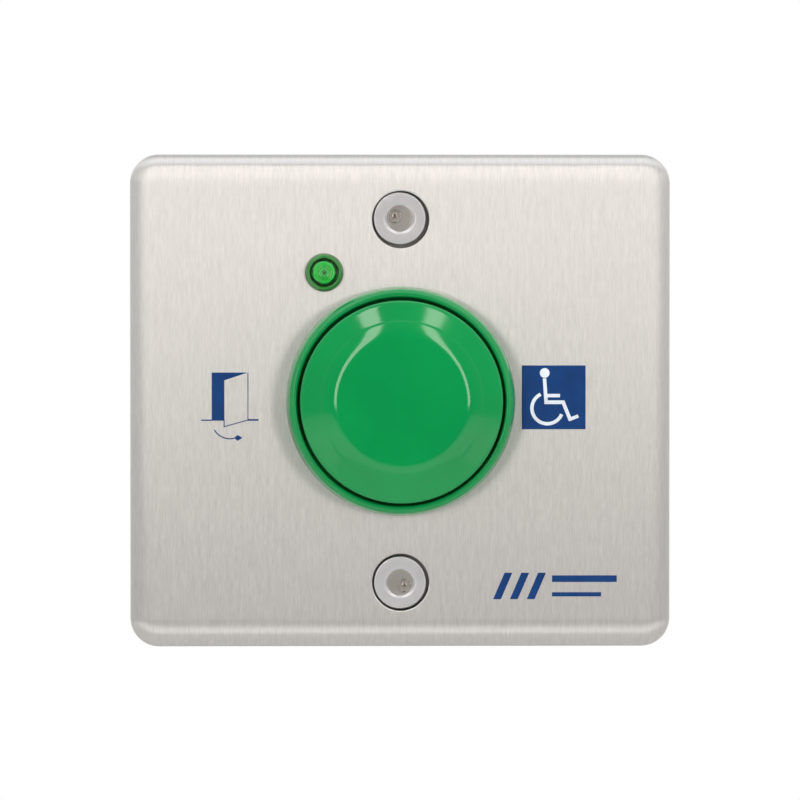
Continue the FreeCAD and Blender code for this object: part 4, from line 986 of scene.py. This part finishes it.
# ---------------------------------------------------------------------------------------------
# Behind the plate, the flat and boxy pieces: their shapes are the frame's own, copied, cleaned of
# their triangles and given broken edges. First the seals: a strip of black foam rubber glued into
# the tray's rim, and a thin rubber ring under the bezel.
# ---------------------------------------------------------------------------------------------


MERGE = 0.001  # points nearer than this become one
FLAT_ANGLE = 0.6  # degrees, faces that meet flatter than this become one
KEEP_SMOOTH = 30.0  # degrees, an edge flatter than this is part of a curve


def finished(node, material, bevel, name):
    """A copy of a CAD node as a finished piece: flat faces are merged across their triangles, and every
    edge clearly sharper than a curve's is rounded by bevel millimetres."""
    source = frame["nodes"][node]
    work = bmesh.new()
    work.from_mesh(source.data)
    bmesh.ops.remove_doubles(work, verts=work.verts, dist=MERGE * MM)
    bmesh.ops.dissolve_limit(work, angle_limit=math.radians(FLAT_ANGLE), verts=work.verts, edges=work.edges)
    piece = finish_piece(work, name, material, source["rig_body"], [node], sharp=KEEP_SMOOTH)
    edge = piece.modifiers.new("broken_edges", "BEVEL")
    edge.width = bevel * MM
    edge.segments = 2
    edge.limit_method = "ANGLE"
    edge.angle_limit = math.radians(KEEP_SMOOTH + 5)
    edge.use_clamp_overlap = True
    edge.harden_normals = True


def foam_rubber(name, code, cell, roughness):
    """Rubber with a pitted skin: dark and dull, in clouds 6 mm across, with pits about cell millimetres
    across whose depth is a fifth of that."""
    material, tree = new_material(name)
    place = add_node(tree, "TexCoord")
    cells = add_node(tree, "TexVoronoi", {"Scale": 1.0 / (cell * MM)}, {"Vector": (place, "Object")})
    tone, _ = clouded(tree, place, code, {"Scale": 180.0, "Detail": 3.0}, (0.7, 1.25), (0.0, 1.0))
    relief = add_node(
        tree, "Bump", {"Strength": 0.6, "Distance": cell * 0.2 * MM}, {"Height": (cells, "Distance")}
    )
    finish_material(
        tree,
        {"Roughness": roughness, "Specular IOR Level": 0.35},
        {"Base Color": (tone, "Color"), "Normal": (relief, "Normal")},
    )
    return material


# EPDM foam: matt charcoal, rough with cut cells. The nitrile ring is darker, finer and a bit shinier.
foam = foam_rubber("epdm_foam", "2a2b2d", 0.45, 0.85)
nitrile = foam_rubber("nitrile_rubber", "1b1b1c", 0.3, 0.6)
finished("wall_seal", foam, 0.25, "wall_seal_strip")
finished("bezel_seal", nitrile, 0.1, "bezel_seal_ring")

# ---------------------------------------------------------------------------------------------
# Ring nut: moulded in black nylon, threaded inside, with a flange against the plate and notches
# round its rim for a pin spanner. It clamps the bezel and its seal to the plate.
# ---------------------------------------------------------------------------------------------

# moulded nylon: near black with a soft, slightly waxy shine
black_nylon = moulded_plastic("moulded_black_nylon", "1c1d1f", (0.38, 0.52), 0.25, 0.006)
finished("ring_nut", black_nylon, 0.22, "ring_nut_moulding")

# ---------------------------------------------------------------------------------------------
# Plunger and return spring: a natural acetal plunger, bonded in the cap, slides in the bezel's
# guide. The spring is wound from 1 mm steel wire with closed ends, and is pressed between the
# plunger's flange and the web of the barrel.
# ---------------------------------------------------------------------------------------------

WIRE_RADIUS, COIL_RADIUS, COIL_TURNS = 0.5, 10.2, 6.0
CLOSED_TURNS = 0.8  # turns at each end that lie flat against the next
LAP = 2.02  # a closed turn lies this many wire radii from the next

# acetal in its natural colour: creamy white and satin
acetal = moulded_plastic("natural_acetal", "dcd9d0", (0.3, 0.42), 0.3, 0.004)
finished("cap_plunger", acetal, 0.15, "plunger_moulding")


def coil(low, high, wire, radius, turns, closed, around_wire=12, per_turn=40):
    """A coil spring's skin: rings of the wire's section along a helix about Y. The climb per turn is a lap
    over the closed turns at each end and even between them, scaled to the height, and both ends are
    domed."""
    height = high - low - 2 * wire
    t = np.linspace(0.0, turns, int(turns * per_turn) + 1)
    free = (height - 2 * closed * LAP * wire) / (turns - 2 * closed)
    climb = np.where((t < closed) | (t > turns - closed), LAP * wire, free)
    rise = np.concatenate([[0.0], np.cumsum((climb[1:] + climb[:-1]) / 2 * np.diff(t))])
    y = low + wire + rise * height / rise[-1]
    a = 2 * math.pi * t
    middle = np.stack([radius * np.cos(a), y, radius * np.sin(a)], axis=1)
    along = np.gradient(middle, axis=0)
    along /= np.linalg.norm(along, axis=1, keepdims=True)
    out = np.stack([np.cos(a), np.zeros_like(a), np.sin(a)], axis=1)
    side = np.cross(along, out)
    b = np.linspace(0, 2 * math.pi, around_wire, endpoint=False)
    ring = out[:, None] * np.cos(b)[None, :, None] + side[:, None] * np.sin(b)[None, :, None]
    rows = middle[:, None] + wire * ring
    dome = np.array([0.0, 0.5, 0.86])[:, None, None]
    bulge = 0.4 * wire * np.sqrt(1 - dome**2)
    start = middle[0] - along[0] * bulge + wire * dome * ring[0]
    end = middle[-1] + along[-1] * bulge + wire * dome * ring[-1]
    return np.concatenate([start, rows, end[::-1]])


spring_low, spring_high = mm_box("return_spring")
work = bmesh.new()
add_grid(work, coil(spring_low[1], spring_high[1], WIRE_RADIUS, COIL_RADIUS, COIL_TURNS, CLOSED_TURNS))
# drawn spring steel: mid grey and rather bright, with faint lines from the die
spring_wire = turned_metal("drawn_spring_steel", ("8d9094", "a7aaad"), (0.24, 0.36), 0.15)
spring = finish_piece(work, "return_spring_coil", spring_wire, "wall_unit", ["return_spring"])
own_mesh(spring)

# ---------------------------------------------------------------------------------------------
# Switch carrier: black glass-filled nylon, a collar that grips the barrel's end and two cheeks
# that hold the switch between them by its two screws and nuts.
# ---------------------------------------------------------------------------------------------

# glass-filled nylon: charcoal, dull and slightly mottled where the fibres reach the skin
filled_nylon = moulded_plastic("glass_filled_nylon", "242628", (0.42, 0.6), 0.16, 0.01, span=(0.8, 1.25))
finished("switch_carrier", filled_nylon, 0.25, "switch_carrier_moulding")
# bright zinc plate: pale and shiny, with a trace of yellow
plated_zinc = turned_metal("bright_zinc_plate", ("b9bcbe", "d6d6cf"), (0.22, 0.34), 0.12)
finished("switch_screws", plated_zinc, 0.12, "switch_fixing_screws")
finished("switch_nuts", plated_zinc, 0.14, "switch_fixing_nuts")

# ---------------------------------------------------------------------------------------------
# Microswitch: a black phenolic body with a red lid, a stainless lever on a steel pin, a red
# button, a copper-alloy blade inside, and three brass tabs that take push-on connectors.
# ---------------------------------------------------------------------------------------------

# phenolic is brown-black and hard-looking, and the lid and button are brick-red nylon
phenolic = moulded_plastic("moulded_phenolic", "1f1e1e", (0.28, 0.4), 0.2, 0.005)
lid_red = moulded_plastic("red_switch_lid", "8e1d1a", (0.3, 0.42), 0.25, 0.004)
button_red = moulded_plastic("red_switch_button", "a3201c", (0.25, 0.35), 0.2, 0.003)
# rolled stainless strip shines along its length, the ground pin is the brightest piece, and the
# copper alloy and the brass keep their warm colours under a light tarnish
sheet_steel = turned_metal("rolled_stainless_strip", ("a8a7a4", "c4c2be"), (0.22, 0.34), 0.2, anisotropy=0.3)
ground_pin = turned_metal("ground_steel_pin", ("b4b4b4", "cbcbca"), (0.14, 0.22), 0.1)
copper_strip = turned_metal("beryllium_copper_strip", ("a86a35", "c58a4e"), (0.24, 0.36), 0.15)
brass_strip = turned_metal("stamped_brass", ("b08c3e", "d2b25c"), (0.24, 0.38), 0.18)
finished("switch_base", phenolic, 0.2, "switch_body")
finished("switch_cover", lid_red, 0.2, "switch_lid_moulding")
finished("switch_lever", sheet_steel, 0.06, "switch_lever_strip")
finished("lever_pin", ground_pin, 0.08, "switch_lever_pin")
finished("switch_plunger", button_red, 0.08, "switch_button")
finished("contact_blade", copper_strip, 0.04, "switch_blade")
for kind in ("normally_closed", "normally_open", "common"):
    finished(f"{kind}_terminal", brass_strip, 0.07, f"{kind}_tab")

# ---------------------------------------------------------------------------------------------
# Lamp parts behind the lens: a push-on nylon clip, a green LED with tinned legs soldered to a
# small board, a chip resistor with silvered ends, and a green terminal block with clamp screws.
# ---------------------------------------------------------------------------------------------

CLOTH_PITCH = 0.5  # the real cloth is 0.2 mm, drawn coarser so that it shows
LEG_RADIUS = 0.25
END_CAP, CAP_LIFT = 0.5, 0.03
# the solder joint's radius and height above the board, from its foot to its tip
SOLDER_CORNERS = [
    (0.0, -0.02), (0.95, -0.02), (0.93, 0.06), (0.62, 0.2), (0.42, 0.5), (0.34, 0.75), (0.0, 0.78),
]


def glass_epoxy(name, code, weave):
    """Solder mask over glass-epoxy: glossy, with the woven cloth's squares just showing through. The cloth is
    the product of two stretched waves, weave millimetres apart."""
    material, tree = new_material(name)
    place = add_node(tree, "TexCoord")
    warp, weft = (
        add_node(
            tree,
            "TexWave",
            {"bands_direction": direction, "Scale": 0.314 / (weave * MM), "Distortion": 0.4},
            {"Vector": (place, "Object")},
        )
        for direction in "XZ"
    )
    cloth = add_node(tree, "Math", {"operation": "MULTIPLY"}, {0: (warp, "Fac"), 1: (weft, "Fac")})
    level = add_node(tree, "MapRange", {"To Min": 0.75, "To Max": 1.2}, {"Value": (cloth, "Value")})
    tone = add_node(tree, "HueSaturation", {"Color": linear(code)}, {"Value": (level, "Result")})
    relief = add_node(tree, "Bump", {"Strength": 0.2, "Distance": 0.01 * MM}, {"Height": (cloth, "Value")})
    finish_material(
        tree,
        {"Roughness": 0.22, "Coat Weight": 0.4, "Coat Roughness": 0.08},
        {"Base Color": (tone, "Color"), "Normal": (relief, "Normal")},
    )
    return material


def cast_epoxy(name, code):
    """Tinted cast epoxy: part clear, part cloudy, with a slow swirl 2 mm across in its density."""
    material, tree = new_material(name)
    place = add_node(tree, "TexCoord")
    swirl = {"Scale": 420.0, "Detail": 2.0, "Distortion": 0.8}
    tone, _ = clouded(tree, place, code, swirl, (0.8, 1.15), (0.0, 1.0))
    finish_material(
        tree, {"Roughness": 0.12, "IOR": 1.53, "Transmission Weight": 0.4}, {"Base Color": (tone, "Color")}
    )
    return material


# moulded nylon, as the ring nut's but a little glossier
clip_nylon = moulded_plastic("black_clip_nylon", "202124", (0.35, 0.5), 0.2, 0.004)
finished("lamp_clip", clip_nylon, 0.15, "lamp_clip_moulding")
# cast epoxy: a cloudy bottle green that light passes into
led_epoxy = cast_epoxy("green_led_epoxy", "2ba24b")
finished("pilot_led", led_epoxy, 0.08, "led_casting")
# tinned copper: silvery, soft-edged and bright
tinned = turned_metal("tinned_wire", ("b8b9bb", "d8d8d8"), (0.18, 0.3), 0.2)
finished("led_legs", tinned, 0.04, "led_leg_wires")
# solder mask on glass-epoxy: a glossy dark green over a faint weave
solder_mask = glass_epoxy("green_solder_mask", "14532d", CLOTH_PITCH)
finished("lamp_board", solder_mask, 0.06, "lamp_board_laminate")
# glazed ceramic is black and glassy, and the terminal block is a bright satin green nylon
ceramic = moulded_plastic("black_glazed_ceramic", "18191b", (0.15, 0.25), 0.3, 0.003)
finished("lamp_resistor", ceramic, 0.05, "chip_resistor_body")
block_green = moulded_plastic("green_terminal_nylon", "1d8a4a", (0.32, 0.45), 0.25, 0.005)
finished("terminal_block", block_green, 0.18, "terminal_block_moulding")
finished("clamp_screws", plated_zinc, 0.06, "clamp_screw_heads")

legs_low, legs_high = mm_box("led_legs")
board_back = mm_box("lamp_board")[1][1]
resistor_low, resistor_high = mm_box("lamp_resistor")
work = bmesh.new()
solder = [(radius, board_back + height) for radius, height in SOLDER_CORNERS]
for x in (legs_low[0] + LEG_RADIUS, legs_high[0] - LEG_RADIUS):
    add_grid(work, around(solder, (x, lamp[1]), 24))
finish_piece(work, "led_solder_joints", tinned, "wall_unit", sharp=50.0)
work = bmesh.new()
y = np.array([board_back, resistor_high[1] + CAP_LIFT])
z = np.array([resistor_low[2] - CAP_LIFT, resistor_high[2] + CAP_LIFT])
square_end = [(y[0], z[0]), (y[1], z[0]), (y[1], z[1]), (y[0], z[1])]
middle_point = [(y.mean(), z.mean())] * 4
for end_x, inwards in ((resistor_low[0], 1), (resistor_high[0], -1)):
    start, end = sorted((end_x - inwards * CAP_LIFT, end_x + inwards * END_CAP))
    rows = [(start, middle_point), (start, square_end), (end, square_end), (end, middle_point)]
    add_grid(work, np.array([[(x, a, b) for a, b in row] for x, row in rows]))
caps = finish_piece(work, "chip_resistor_ends", tinned, "wall_unit", sharp=30.0)
rounding = caps.modifiers.new("broken_edges", "BEVEL")
rounding.width, rounding.segments = 0.06 * MM, 2
